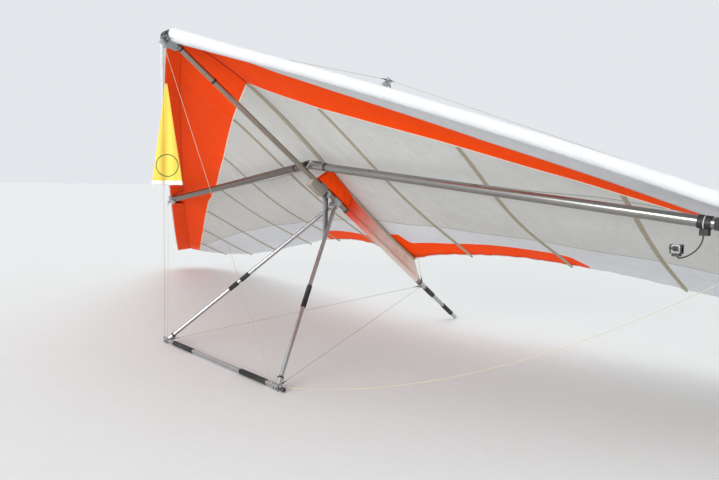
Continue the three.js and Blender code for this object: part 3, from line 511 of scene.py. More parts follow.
def sailGrid(sign):
    # span stations close together at the keel and the stripe's end, chord columns that follow every seam
    last = edgeAt(surface["end"])[0]
    even = sail["inner"] + (last - sail["inner"]) * np.linspace(0, 1, sail["stations"])
    span = np.unique(np.concatenate([even, sail["closeSpans"]]))[:, None]
    lines = [line(span) for line in (clothFront, orangeLine, bandLine, stripeLine, trailingAft)]
    parts = [np.linspace(0, 1, n) for n in sail["columns"]]
    parts[0] = parts[0] ** sail["frontPower"]
    front, back, reach, count = sail["postColumns"]
    close = (sail["post"] - front) / (back - front) + np.linspace(-reach, reach, count)
    parts[1] = np.unique(np.concatenate([parts[1], close]))
    aft = [a + (b - a) * t[None, :-1] for a, b, t in zip(lines, lines[1:], parts)]
    aft = np.concatenate(aft + [lines[-1]], 1)
    opening = sail["postWide"] * np.sqrt(np.maximum(0, 1 - ((aft - sail["post"]) / sail["postHalf"]) ** 2))
    span = np.where(span < sail["postReach"], opening + span * (1 - opening / sail["postReach"]), span)
    panel = np.repeat(np.arange(4), [len(t) - 1 for t in parts])
    inner = (span[1:, :-1] + span[:-1, :-1]) / 2 < sail["stripeEnd"]
    slots = np.where(panel < 3, panel, np.where(inner, 0, 2))
    return parked(mirrored(sailAt(span, aft), sign)), np.stack([span * sign, aft], -1), slots


panels = [cloth[k] for k in ("orange", "body", "band")]
sailPieces = {side: clothPiece(f"sail_cloth_{side}", [sailGrid(sign)], panels, "white_cloth", sail["wall"],
                               f"sail_{side}", 38) for side, sign in sides}
print("sail made")

# Tapes, piping and batten pockets on the sail
trim = {
    "pocketWide": 0.042, "pocketHigh": 0.0022, "battenHigh": 0.0085, "battenWide": 0.0095,
    "pocketSteps": 46, "pocketGaps": (0.006, 0.004), "piping": (0.011, 0.0018), "seam": (0.009, 0.0015),
    "hem": (0.014, 0.0016), "hemIn": 0.006, "crossSeam": (1.585, 0.19), "tipSeam": 5.03, "tipGaps": (0.05, 0.02),
    "centre": ((0.135, 0.65, 0.030, 0.001, -0.001, 0), (0.66, 1.648, 0.054, 0.007, -0.0065, 1),
               (1.732, 2.943, 0.054, 0.007, -0.0065, 1)),
    "centreHigh": 0.002, "centreBatten": 0.011,
}


def stripProfile(width, high, bulge=0.0, bulgeWide=0.006, half=10):
    # a flat oval, with a round batten's swell on both faces
    a = np.linspace(-1, 1, half)
    x = a * width / 2
    z = (high + bulge * bell(x, bulgeWide)) * (1 - a**4)
    top = np.stack([x, z], -1)
    return np.concatenate([top, -top[1:-1] * vec(1, 1)])[::-1]


def strip(heap, span, aft, profile, sign, slot=0):  # a flat oval carried along a line on the sail
    heap.tube(parked(mirrored(sailAt(span, aft), sign)), profile, upWay, slot)


rowPieces = {}
# batten pockets: their tan is dust and painted shadow of the battens seen through the cloth
for side, sign in sides:
    heap = Heap()
    wide = stripProfile(trim["pocketWide"], trim["pocketHigh"], trim["battenHigh"], trim["battenWide"], 13)
    for front, back in zip(wing["battenFronts"], battenSpans[1:-1]):
        start, end = orangeLine(front) + trim["pocketGaps"][0], trailingAft(back) + trim["pocketGaps"][1]
        steps = trim["pocketSteps"]
        strip(heap, np.linspace(front, back, steps), np.linspace(start, end, steps), wide, sign)
    rowPieces[side] = [heap.build(f"batten_pockets_{side}", [cloth["tape_batten_shadow"]], "airframe", "white_cloth", 60)]
    heap = Heap()
    seam = stripProfile(*trim["seam"])
    last = edgeAt(surface["end"])[0]
    cross, slope = trim["crossSeam"]
    for line, (first, end, steps), profile, slot in (
        (orangeLine, (0.02, 5.1, 90), stripProfile(*trim["piping"]), 0),
        (bandLine, (0.02, 4.7, 80), seam, 1),
        (lambda s: cross + slope * s, (0.12, 2.74, 60), seam, 1),
        (lambda s: trailingAft(s) - trim["hemIn"], (0.01, last - 0.005, 160), stripProfile(*trim["hem"]), 2),
    ):
        span = np.linspace(first, end, steps)
        strip(heap, span, line(span), profile, sign, slot)
    tip = trim["tipSeam"]
    aft = np.linspace(clothFront(tip) + trim["tipGaps"][0], trailingAft(tip) - trim["tipGaps"][1], 16)
    strip(heap, tip, aft, seam, sign)
    rowPieces[side].append(heap.build(f"sail_tapes_{side}", [cloth[k] for k in ("piping", "seam", "band")],
                                      "airframe", "white_cloth", 60))

# the two halves meet under one tape along the keel's line, with the root batten in it behind the orange panel
# the tape's front length, from the nose, is a darker orange as painted shadow along the keel's line
heap = Heap()
# behind that, the tape over the root batten has the pockets' tan: dust and painted batten shadow
for start, end, wide, bulge, lift, slot in trim["centre"]:
    shape = stripProfile(wide, trim["centreHigh"], bulge, trim["centreBatten"], 13)
    heap.tube(parked(sailAt(np.zeros(40), np.linspace(start, end, 40), lift)), shape, upWay, slot)
centreTape = heap.build("centre_tape", [cloth["orange_seam_shadow"], cloth["tape_batten_shadow"]], "airframe", "white_cloth", 60)

# Batten tips and their ties
tips = {
    "profile": ((-0.03, 0), (-0.03, 0.004), (-0.01, 0.0062), (0.012, 0.0065), (0.02, 0.0045), (0.026, 0.006),
                (0.032, 0.005), (0.034, 0)),
    "before": 0.05, "tie": 0.0011, "tieFrom": 0.022, "tieOut": 0.05, "tieBack": 0.07, "tieSag": 0.012,
    "tieDown": 0.008,
}
blackPlastic = finish("black_plastic", (20, 20, 21), (38, 38, 40), (0.38, 0.62), "grain", 0, 0.15, 0.0005, 0.12,
                      Scale=500.0)
stringFinish = finish("tie_string", (196, 190, 172), (226, 221, 206), (0.7, 0.85), "twist", 0, 0.4,
                      0.0005, 0.1, uv=True, Pitch=0.002, Slant=1.0)
heap, strings = Heap(), Heap()
for side, sign in sides:
    for span in battenSpans[1:-1]:
        end, before = (sailAt(span, trailingAft(span) - back) for back in (0, tips["before"]))
        way = unit(parkedWay(mirrored(end - before, sign)))
        at = parked(mirrored(end, sign))
        heap.turn(at, way, tips["profile"], 14)
        a = np.linspace(0, 1, 30)[:, None]
        arc = np.sin(a * pi)
        path = (at + way * tips["tieFrom"] + arc * tips["tieOut"] * unit(np.cross(way, upWay))
                - a * tips["tieBack"] * way + arc * tips["tieSag"] * plumb - a**2 * tips["tieDown"] * upWay)
        strings.tube(path, circle(tips["tie"], 8), upWay)
battenTips = heap.build("batten_tips", [blackPlastic], "airframe", "black_plastic")
battenTies = strings.build("batten_ties", [stringFinish], "airframe", "white_cloth")
print("battens made")

# Leading-edge pockets: over the top of the tube, round its front and back under the sail as a flap. The left
# wing's flap is white and grows deeper outboard; the right wing's is short and orange.
pocket = {
    "stations": 190, "root": 0.095, "perMetre": 0.013, "topLap": 0.11, "topShare": 0.3, "wall": 0.0012,
    "start": 0.028, "over": 0.0022, "off": 0.0046, "drop": 0.005, "deeper": 0.004, "loose": 0.0085,
    "noseLoose": (0.009, 0.016, 0.42), "tipLoose": (0.35, 0.5), "columns": (8, 22, 16),
    "leftFlap": ((0, 0.10, 0.49, 0.90, 1.44, 1.73, 2.15, 2.8, 3.3, 4.3, 5.18),
                 (0.09, 0.10, 0.20, 0.28, 0.36, 0.40, 0.425, 0.46, 0.44, 0.33, 0.16)),
    "open": ((-9, -0.40, -0.15, -0.075, 0.075, 0.13, 9), (1, 1, 0.66, 0.36, 0.36, 1, 1)), "openStations": (0.16, 25),
    "wave": 0.0028, "waves": (21, 6.3), "fan": 0.0055, "fanAt": 3.28, "fanReach": 0.22, "fanWaves": (62, 48),
    "flat": (5.85, 0.36, 1.2),
}


def pocketGrid(sign):
    # each section: the top lap, an arc about the tube's axis, a straight flap and then along under the sail
    k = pocket
    reach, count = k["openStations"]
    s = np.linspace(k["start"], surface["end"], k["stations"])
    s = np.unique(np.concatenate([s, wing["junction"] + np.linspace(-reach, reach, count)]))[:, None]
    edge = edgeAt(s[:, 0])
    span, edgeY, edgeZ = edge[:, :1], edge[:, 1:2], edge[:, 2:]
    slant = 1 / unit(np.gradient(edge, axis=0))[:, :1]
    noseExtra, noseLift, noseReach = k["noseLoose"]
    nearNose = bell(s, noseReach)
    least, length = k["tipLoose"]
    tip = np.clip((surface["end"] - s) / length, 0, 1)
    loose = (k["loose"] + noseExtra * nearNose) * (least + (1 - least) * tip)
    radius = wing["edgeRadius"] + k["off"] + ringLiftAt(span) + loose
    back = k["root"] + k["perMetre"] * span
    deep = back + k["deeper"]
    if sign > 0:
        deep = np.maximum(np.interp(span, *k["leftFlap"]), deep)
    under = sailAt(span, edgeY + back)[..., 2] - edgeZ - k["drop"]
    tangent = 2 * pi + np.arctan2(under, back / slant) - np.arccos(radius / np.hypot(back / slant, under))
    lapColumns, arcColumns, flapColumns = k["columns"]
    part = np.linspace(1, 0, lapColumns)[None, :-1]
    lap = part * np.minimum(k["topLap"], k["topShare"] * (trailingAft(span) - edgeY))
    lapTop = sailAt(span, edgeY + lap)[..., 2] + k["over"] + (loose + noseLift * nearNose) * (1 - part) ** 2
    angle = pi / 2 + np.linspace(0, 1, arcColumns)[None] * (tangent - pi / 2)
    arcY = edgeY + radius * slant * np.cos(angle)
    arcZ = edgeZ + radius * np.sin(angle) + noseLift * nearNose
    q = np.linspace(0, 1, flapColumns + 1)[None, 1:]
    flapY = arcY[:, -1:] + (edgeY + deep - arcY[:, -1:]) * q
    straight = (flapY - arcY[:, -1:]) / (edgeY + back - arcY[:, -1:])
    along = sailAt(span, flapY)[..., 2] - k["drop"]
    flapZ = np.where(straight < 1, arcZ[:, -1:] + (edgeZ + under - arcZ[:, -1:]) * straight, along)
    # slack and creases: long soft ones, and a fan of short ones inboard of the crossbar's end
    wave = k["wave"] * np.sin(s * k["waves"][0]) * np.sin(s * k["waves"][1] + 2)
    slackY = np.concatenate([0 * lap, 0 * angle, flapY - edgeY], 1)
    fan = k["fan"] * bell(s - k["fanAt"], k["fanReach"]) * np.sin(s * k["fanWaves"][0] + slackY * k["fanWaves"][1])
    full = np.concatenate([0 * part, np.sin(pi * np.linspace(0, 1, arcColumns))[None], np.sin(pi * q)], 1)
    y = np.concatenate([edgeY + lap, arcY, flapY], 1)
    z = np.concatenate([lapTop, arcZ, flapZ], 1) - np.abs(full * (wave + fan))
    # round the crossbar's bracket the section stops short, so the cloth opens there
    last = y.shape[1] - 1
    wanted = np.interp(s - wing["junction"], *k["open"]) * np.arange(last + 1)[None]
    low = np.minimum(np.floor(wanted).astype(int), last - 1)
    rest = wanted - low
    y, z = (np.take_along_axis(g, low, 1) * (1 - rest) + np.take_along_axis(g, low + 1, 1) * rest for g in (y, z))
    p = np.stack(np.broadcast_arrays(span, y, z), -1)
    v = np.concatenate([0 * s, np.cumsum(np.hypot(np.diff(y), np.diff(z)), 1)], 1)
    flap = (low[:-1, :-1] >= lapColumns + arcColumns - 5) & (sign < 0)
    return parked(mirrored(p, sign)), np.stack(np.broadcast_arrays(s * sign, v), -1), np.where(flap, 1, 0)


for side, sign in sides:
    piece, area = clothPiece(f"edge_cloth_{side}", [pocketGrid(sign)], [cloth["pocket"], cloth["orange"]],
                             "white_cloth", pocket["wall"], f"edge_pocket_{side}")
    length, least, share = pocket["flat"]
print("edge pockets made")

# Keel pocket: a sleeve round the keel that closes into a web up to the sail, orange ahead and turning pinkish grey
# aft
keelCloth = {
    "start": 1.99, "end": 3.12, "sailBack": 2.94, "under": 0.003, "least": 0.026, "radius": 0.0235, "half": 0.002,
    "wall": 0.0012, "steps": (60, 34, 10), "wrap": (82, -262), "ripples": (0.005, 0.003),
    "aftTone": (216, 200, 190), "fade": (0.05, 0.55),
}


def keelGrid(k):
    # sections along the keel: a rippled wall down from the sail, most of a circle round the tube, and back up
    rows, around, high = k["steps"]
    y = np.linspace(k["start"], k["end"], rows)[:, None]
    top = sailAt(0, np.minimum(y, k["sailBack"]))[..., 2] - k["under"]
    taper = np.clip((y - k["sailBack"]) / (k["end"] - k["sailBack"]), 0, 1)
    top = np.maximum(top * (1 - taper) + k["least"] * taper, k["least"])
    a = np.radians(np.linspace(*k["wrap"], around))[None]
    roundX, roundZ = k["radius"] * np.cos(a) + 0 * y, k["radius"] * np.sin(a) + 0 * y
    up = np.linspace(0, 1, high)[None, :-1]
    webZ = top + (roundZ[:, :1] - top) * up
    broad, fine = k["ripples"]
    ripple = (broad * np.sin(y * 17 + 4 * up) + fine * np.sin(y * 41)) * np.sin(pi * up)
    webX = k["half"] + (roundX[:, :1] - k["half"]) * up**6
    x = np.concatenate([webX + ripple, roundX, (-webX + ripple)[:, ::-1]], 1)
    z = np.concatenate([webZ, roundZ, webZ[:, ::-1]], 1)
    return parked(np.stack(np.broadcast_arrays(x, y, z), -1)), None, 0


def fadeAlong(tree, uv, tone):
    along = newNode(tree, "SeparateXYZ", {0: uv})[1]
    first, last = keelCloth["fade"]
    ramp = newNode(tree, "MapRange", {"Value": along, "From Min": first, "From Max": last})
    return mixColour(tree, ramp[0], tone, linear(*keelCloth["aftTone"]))


keelFinish = finish("cloth_keel", (240, 50, 8), (248, 70, 18), (0.55, 0.68), "woven", 0, 0.3, 0.01, 0.12,
                    uv=True, gloss=0.25, extra=fadeAlong, Pitch=0.012, Creases=1.0)
piece, area = clothPiece("keel_cloth", [keelGrid(keelCloth)], [keelFinish], "orange_cloth", keelCloth["wall"],
                         "keel_pocket")

# Ahead of the sleeve the pocket is two walls, one each side of the kingpost, from the sail to beside the keel
front = {
    "start": 1.60, "end": 2.00, "half": 0.0235, "foot": 0.024, "under": 0.0026, "leanFrom": 1.80, "lean": 0.85,
    "swell": 0.006, "ripple": 0.002, "cut": 0.06, "cutAft": 0.15, "wall": 0.0012, "steps": (34, 12),
}


def frontGrid(k, sign):
    # straight down from the sail to beside the keel, swelled by half a sine and leaning to the middle aft
    y = np.linspace(k["start"], k["end"], k["steps"][0])[:, None]
    up = np.linspace(0, 1, k["steps"][1])[None]
    lean = np.clip((y - k["leanFrom"]) / (k["end"] - k["leanFrom"]), 0, 1) ** 2
    top = sailAt(0.02, y)[..., 2] - k["under"]
    waves = k["swell"] * np.sin((y - k["start"]) * 9) + k["ripple"] * np.sin(y * 60 + up * 5)
    x = k["half"] * (1 - k["lean"] * lean * up**0.5) + waves * np.sin(pi * up)
    z = k["foot"] + (top - k["foot"]) * up
    y = y + k["cut"] * up * np.clip((k["start"] + k["cutAft"] - y) / k["cutAft"], 0, 1)
    return parked(np.stack(np.broadcast_arrays(sign * x, y, z), -1)), None, 0


walls = [frontGrid(front, sign) for side, sign in sides]
piece, area = clothPiece("keel_cloth_front", walls, [cloth["orange"]], "orange_cloth", front["wall"])

# Pennant under the right leading edge, with a bare green ring and a white hem
pennant = {
    "edge": 0.65, "under": 0.0312, "height": 0.79, "top": 0.014, "bottom": 0.245, "turn": 49.5, "wall": 0.0008,
    "steps": (60, 26), "folds": (0.010, 0.004), "ringDown": 0.638, "ring": (0.081, 0.089),
    "ringTone": (86, 104, 62), "hem": 0.756, "hemTone": (240, 238, 228),
}


def pennantMarks(tree, uv, tone):  # by distance on the cloth
    middle = (0, pennant["ringDown"], 0)
    gap = newNode(tree, "VectorMath", {0: uv, 1: middle}, operation="DISTANCE")["Value"]
    inner = mathNode(tree, "GREATER_THAN", gap, pennant["ring"][0])
    outer = mathNode(tree, "LESS_THAN", gap, pennant["ring"][1])
    ringed = mixColour(tree, mathNode(tree, "MULTIPLY", inner, outer), tone, linear(*pennant["ringTone"]))
    hem = mathNode(tree, "GREATER_THAN", newNode(tree, "SeparateXYZ", {0: uv})[1], pennant["hem"])
    return mixColour(tree, hem, ringed, linear(*pennant["hemTone"]))


def pennantGrid(k):
    # a tall triangle hung plumb, with folds that grow with the drop, square to its own turned plane
    down = np.linspace(0, 1, k["steps"][0])[:, None]
    across = np.linspace(-1, 1, k["steps"][1])[None]
    half = (k["top"] + (k["bottom"] - k["top"]) * down) / 2
    broad, fine = k["folds"]
    fold = broad * down**1.5 * np.sin(across * 4.2 + 1.2 * down + 0.6) + fine * down * np.sin(9 * across * down + 2)
    a = np.radians(k["turn"])
    top = parked(edgeAt(k["edge"], -1)) + plumb * k["under"]
    x = top[0] + across * half * np.cos(a) - fold * np.sin(a)
    y = top[1] + across * half * np.sin(a) + fold * np.cos(a)
    fall = k["height"] * down + 0 * across
    return np.stack([x, y, top[2] - fall], -1), np.stack([across * half, fall], -1), 0


pennantFinish = finish("cloth_pennant", (228, 198, 74), (240, 214, 96), (0.66, 0.78), "woven", 0, 0.3, 0.006,
                       0.04, uv=True, gloss=0.25, extra=pennantMarks, Pitch=0.006, Creases=1.0)
flag, area = clothPiece("pennant_cloth_piece", [pennantGrid(pennant)], [pennantFinish], "pennant_cloth",
                        pennant["wall"], "pennant")
knot = {"apart": 0.004, "radius": 0.0335, "string": 0.0012, "drop": (0.033, 0.046), "thick": 0.0022}
heap = Heap()
top = parked(edgeAt(pennant["edge"], -1))
along = unit(parkedWay(edgeAt(0.7, -1) - edgeAt(0.6, -1)))
for lift in (-knot["apart"], knot["apart"]):  # its string goes twice round the edge
    heap.ring(top + along * lift, along, knot["radius"], knot["string"], 32, 8)
heap.tube(top + np.linspace(*knot["drop"], 6)[:, None] * plumb, circle(knot["thick"], 8), -forward)
heap.build("pennant_string", [stringFinish], "airframe", "white_cloth")
print("pennant made")

# Hang loops: flat webbing round the pin, hanging plumb
loops = {
    "main": {"length": 0.300, "x": 0.014, "tones": ((30, 31, 35), (58, 60, 66)), "finish": "webbing_black"},
    "backup": {"length": 0.345, "x": -0.014, "tones": ((96, 98, 104), (136, 138, 144)), "finish": "webbing_grey"},
    "bend": 0.0092, "pinch": 0.55, "width": 0.025, "thick": 0.003, "tacks": (1 / 6, 11 / 30, 9), "tackHalf": 0.009,
    "tackSlant": 0.002, "thread": 0.0006,
}
threadFinish = finish("stitching", (190, 188, 180), (220, 218, 210), (0.7, 0.8), "grain", 0, 0.2, 0.0003, 0.05,
                      Scale=900.0)
webbing = {}
for name in ("main", "backup"):
    k = loops[name]
    length = k["length"]
    webbing[name] = finish(k["finish"], *k["tones"], (0.75, 0.9), "twist", 0, 0.5, 0.0006, 0.15, uv=True,
                           sheen=0.2, Pitch=0.0035, Slant=1.0)
    centre = parked(spots["hangPin"] + sideWay * k["x"])
    r = loops["bend"]
    a = np.linspace(0, pi, 16)
    run = np.linspace(0, 1, 22)[1:-1]
    pinch = r * (1 - loops["pinch"] * np.sin(pi * run) ** 0.8)
    y = np.concatenate([r * np.cos(a), -pinch, r * np.cos(a + pi), pinch[::-1]])
    z = np.concatenate([r * np.sin(a), -length * run, -length + r * np.sin(a + pi), -length * run[::-1]])
    w, t = loops["width"] / 2, loops["thick"] / 2
    section = np.array([(-t, -w + t), (-t / 2, -w), (t / 2, -w), (t, -w + t)])
    section = np.concatenate([section, -section])
    heap = Heap()
    heap.tube(centre + np.stack([0 * y, y, z], -1), section, sideWay, loop=True)
    for part in np.linspace(*loops["tacks"]):  # bar tacks where the strap's ends are sewn
        at = centre + plumb * part * length
        for face in (-1, 1):
            out = face * (np.interp(part, run, pinch) + t)
            ends = at + np.array([(-loops["tackHalf"], out, 0), (loops["tackHalf"], out, loops["tackSlant"])])
            heap.tube(ends, circle(loops["thread"], 6), vec(0, 0, 1), 1)
    strap = heap.build(f"hang_strap_{name}", [webbing[name], threadFinish], f"{name}_loop", "webbing")
    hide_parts(f"hang_loop_{name}")
print("hang loops made")

# Foam grips with rounded ends; the right downtube's is in two lengths
foam = {
    "radius": 0.0192, "soft": 0.006, "least": 0.86, "lumps": 0.012, "base": (0.355, 0.690),
    "downtube": {"left": ((0.5, 0.62),), "right": ((0.5, 0.552), (0.568, 0.62))},
}
foamFinish = finish("black_foam_cells", (17, 17, 18), (36, 36, 38), (0.82, 0.95), "cells", 0, 0.45, 0.0008, 0.12,
                    Scale=420.0)


def gripOn(lengths, name, node):
    # a circle carried along each length, smaller at the ends by a quarter round and lumpy by two sines
    heap = Heap()
    for start, end in lengths:
        t = np.linspace(0, 1, 60)
        near = np.clip(np.minimum(t, 1 - t) * np.linalg.norm(end - start) / foam["soft"], 0, 1)
        soft = np.sqrt(1 - (1 - near) ** 2)
        lumps = foam["lumps"] * np.sin(t * 41) * np.sin(t * 13)
        size = foam["least"] + (1 - foam["least"] + lumps) * soft
        heap.tube(start + (end - start) * t[:, None], circle(foam["radius"], 28), anyUp(end - start), sizes=size)
    piece = heap.build(name, [foamFinish], "control_frame", "black_foam", 60)
    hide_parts(node)


for side, sign in sides:
    top, foot = mirrored(spots["apex"], sign), mirrored(spots["corner"], sign)
    lengths = [[parked(top + (foot - top) * part) for part in pair] for pair in foam["downtube"][side]]
    gripOn(lengths, f"foam_downtube_{side}", f"downtube_grip_{side}")
    ends = [parked(vec(sign * x, *spots["corner"][1:])) for x in foam["base"]]
    gripOn([ends], f"foam_base_{side}", f"base_bar_grip_{side}")

# The slack side wires, and the rear wires from the frame's corners to the rear tang
sideWire = {"corner": (0.819, -1.19292, 0.022), "sag": 0.23, "fromLug": 0.0606, "toLug": 0.0346, "radius": 0.0016,
            "steps": 60}
rearWire = {"lug": 0.0603, "radius": 0.0016, "steps": 40}
wireFinish = finish("wire_strand", (150, 144, 128), (196, 190, 172), (0.35, 0.5), "twist", 0.7, 0.5, 0.0003,
                    0.05, uv=True, Pitch=0.0016, Slant=1.6)
sheathFinish = finish("wire_sheath", (180, 168, 136), (206, 195, 164), (0.4, 0.55), "grain", 0, 0.1, 0.0004,
                      0.1, Scale=300.0)


def sidePath(sign, w):  # a straight line, with a parabola's sag under it
    a, b = vec(*w["corner"]), parked(spots["lowTang"])
    length = np.linalg.norm(b - a)
    t = np.linspace(w["fromLug"] / length, 1 - w["toLug"] / length, w["steps"])[:, None]
    return mirrored(a + (b - a) * t + plumb * 4 * w["sag"] * t * (1 - t), sign)


for side, sign in sides:
    path = sidePath(sign, sideWire)
    heap = Heap()
    heap.tube(path, circle(sideWire["radius"], 12), vec(0, 0, 1))
    line = heap.build(f"side_line_{side}", [sheathFinish], None, "steel_wire")
    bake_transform(line)
    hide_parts(f"side_wire_{side}")
    foot, tang = mirrored(spots["corner"], sign), spots["rearTang"]
    way = unit(tang - foot) * rearWire["lug"]
    a, b = parked(foot + way), parked(tang - way)
    heap = Heap()
    heap.tube(np.linspace(a, b, rearWire["steps"]), circle(rearWire["radius"], 10), vec(0, 0, 1))
    stay = heap.build(f"rear_stay_{side}", [wireFinish], None, "steel_wire")
    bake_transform(stay)
    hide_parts(f"rear_wire_{side}")
print("wires made")

# Wire ends: a dark sleeve over each fitting's lug, closing on the wire, with two pressed rings
wireEnds = {
    "sleeve": ((-0.026, 0), (-0.026, 0.0058), (-0.004, 0.0060), (0.004, 0.0046), (0.008, 0.0034), (0.030, 0.0032),
               (0.034, 0.0021), (0.034, 0)),
    "pressed": ((-0.003, 0.0034), (-0.002, 0.0040), (0.002, 0.0040), (0.003, 0.0034)), "pressedAt": (0.012, 0.020),
}
shrink = finish("shrink_sleeve", (26, 26, 28), (48, 48, 52), (0.35, 0.5), "grain", 0, 0.1, 0.0003, Scale=700.0)
swage = metalFinish("swage_copper", (150, 128, 100), (186, 164, 134), (0.3, 0.45))


def wireEnd(heap, start, towards, lug):
    # profiles turned about the line from start towards the other end, in the wing's axes, past the fitting's lug
    way = unit(parked(towards) - parked(start))
    at = parked(start) + way * lug
    heap.turn(at, way, wireEnds["sleeve"], 12)
    for out in wireEnds["pressedAt"]:
        heap.turn(at + way * out, way, wireEnds["pressed"], 12, 1)


airHeap, frameHeap = Heap(), Heap()
king, nose, rear = spots["kingTip"], spots["noseTop"], spots["rearTang"]
for side, sign in sides:
    tang, corner = mirrored(spots["topTang"], sign), mirrored(spots["corner"], sign)
    wireEnd(airHeap, tang, king, 0.034)
    wireEnd(airHeap, king, tang, 0.050)
    wireEnd(airHeap, rear, corner, 0.060)
    wireEnd(frameHeap, corner, rear, 0.060)
for start, towards, lug in ((nose, king, 0.034), (king, nose, 0.060), (king, rear, 0.060), (rear, king, 0.066)):
    wireEnd(airHeap, start, towards, lug)
airHeap.build("wire_ends_airframe", [shrink, swage], "airframe", "steel_wire")
frameHeap.build("wire_ends_frame", [shrink, swage], "control_frame", "steel_wire")

# Bolts, nuts and pins. A bolt's shapes are in its own radii: washer, six-sided head and a domed end.
bolts = {
    "shapes": ((20, ((0, 0), (0, 1.9), (0.25, 1.9), (0.3, 1.8), (0.3, 0))),
               (6, ((0.3, 0), (0.3, 1.3), (1.1, 1.3), (1.3, 1.1), (1.3, 0))),
               (14, ((1.3, 0), (1.3, 0.75), (1.7, 0.6), (1.9, 0)))),
    "nose": ((0.066, 0.050), (0.036, 0.022), (0.020, 0.108), (0.082, 0.058)), "noseUp": 0.0297, "noseSize": 0.0042,
    "hinge": (0.058, 0.110), "hingeUp": 0.0938, "hingeSize": 0.0045,
    "through": ((0.0195, 1.690, 0.055, 0.0048), (0.0196, 1.672, 0.070, 0.0036), (0.0153, 1.690, 1.180, 0.0042),
                (0.0355, 1.752, -0.037, 0.0052), (0.0262, 3.178, 0.004, 0.0042), (0.0282, 1.845, 0.004, 0.0040),
                (0.0282, 1.895, 0.004, 0.0040)),
    "apexOut": 0.056, "apexSize": 0.0062, "crossbar": (0.045, 0.115, 0.185), "crossbarUp": 0.0375,
    "crossbarSize": 0.0048, "footOut": (0.029, 0.006, 0.0062),
    "footFront": ((0, 0.004, 0.0060, 0), (0.017, -0.006, 0.0036, 1), (-0.017, -0.006, 0.0036, 1)),
    "footFace": -0.020, "tubeUp": 0.046, "tubeFace": -0.0195, "tubeSize": 0.0040,
    "collar": ((0, 0.0166), (0, 0.0215), (0.008, 0.0222), (0.014, 0.0205), (0.014, 0.0162)), "collarUp": 0.060,
    "knob": ((-0.032, 0), (-0.032, 0.004), (-0.012, 0.004), (-0.012, 0.012), (-0.006, 0.015), (0.010, 0.015),
             (0.016, 0.011), (0.017, 0)), "knobAt": (0.060, 0, -0.004),
    "pinRings": (((0.042, 1.752, -0.043), 0.012), ((-0.076, 1.870, -0.068), 0.010)), "pinWire": 0.0008,
}
steel = metalFinish("bolt_steel", (150, 152, 156), (196, 198, 202), (0.22, 0.4), dust=0.15)
blackSteel = metalFinish("bolt_dark", (40, 41, 44), (72, 74, 78), (0.3, 0.5), dust=0.15)


def bolt(heap, place, way, size, slot=0):  # its three shapes turned about its axis
    for around, profile in bolts["shapes"]:
        heap.turn(place, way, size * np.array(profile), around, slot)


air, hinged = Heap(), Heap()
for side, sign in sides:
    out = sideWay * sign
    for x, y in bolts["nose"]:
        for face in (1, -1):
            bolt(air, parked((sign * x, y, face * bolts["noseUp"])), upWay * face, bolts["noseSize"])
    root = spots["crossbarRoot"][1]
    slope = np.arctan2(junction[1] - root, junction[0])
    for x in bolts["hinge"]:  # hinge leaf to crossbar
        at = parked((sign * x * np.cos(slope), root + x * np.sin(slope), bolts["hingeUp"]))
        bolt(air, at, upWay, bolts["hingeSize"])
    for x, y, z, size in bolts["through"]:
        bolt(air, parked((sign * x, y, z)), out, size)
    bolt(hinged, parked(vec(sign * bolts["apexOut"], *spots["apex"][1:])), out, bolts["apexSize"])
    aim = mirrored(spots["crossbarEnd"], sign)
    inward = unit(mirrored(spots["crossbarRoot"], sign) - aim)
    for reach in bolts["crossbar"]:
        for face in (1, -1):
            at = aim + inward * reach + vec(0, 0, face * bolts["crossbarUp"])
            bolt(air, parked(at), upWay * face, bolts["crossbarSize"])
    ground = parked(mirrored(spots["corner"], sign))
    x, z, size = bolts["footOut"]
    bolt(hinged, ground + vec(sign * x, 0, z), out, size)
    for x, z, size, slot in bolts["footFront"]:
        bolt(hinged, ground + vec(x, bolts["footFace"], z), forward, size, slot)
    up = unit(parked(mirrored(spots["apex"], sign)) - ground)
    hinged.turn(ground + up * bolts["collarUp"], up, bolts["collar"], 28, 1)
    bolt(hinged, ground + up * bolts["tubeUp"] + vec(0, bolts["tubeFace"], 0), forward, bolts["tubeSize"])
# a black hand knob outside the left corner, and safety rings through the pins' ends
hinged.turn(parked(spots["corner"]) + vec(*bolts["knobAt"]), sideWay, bolts["knob"], 18, 2)
for at, r in bolts["pinRings"]:
    air.ring(parked(at), vec(0, 1, 0.3), r, bolts["pinWire"])
air.build("bolts_airframe", [steel, blackSteel, blackPlastic], "airframe", "bright_metal")
hinged.build("bolts_frame", [steel, blackSteel, blackPlastic], "control_frame", "bright_metal")

# Bands, collars and rings on the tubes: inner and outer radius, half length and material
bandSizes = {
    "keel": {0.45: (0.0209, 0.0236, 0.008, 1), 0.14: (0.0209, 0.0232, 0.005, 1), 2.00: (0.0232, 0.0252, 0.010, 2),
             3.10: (0.0232, 0.0250, 0.008, 2), 3.135: (0.0209, 0.0258, 0.005, 1)},
    "clampSpan": 2.93, "clamp": (0.0312, 0.0372, 0.0018, 3), "wrap": (0.0309, 0.0345, 0.013, 2), "wrapOut": 0.062,
    "root": (0.0309, 0.0330, 0.012, 1), "rootOut": (0.16, 0.0247, -0.0025),
    "tailRing": ((0.030, 3.170, -0.010), (0.3, 1, 0.2), 0.014, 0.0018), "tipRing": (5.835, 0.0252, 0.0016),
}
bands = Heap()


def band(place, way, inner, outer, half, slot):  # a collar's section with broken edges, turned about the tube
    bands.turn(place, way, [(-half, inner), (-half, outer * 0.99), (-half * 0.8, outer), (half * 0.8, outer),
                            (half, outer * 0.99), (half, inner)], 32, slot)


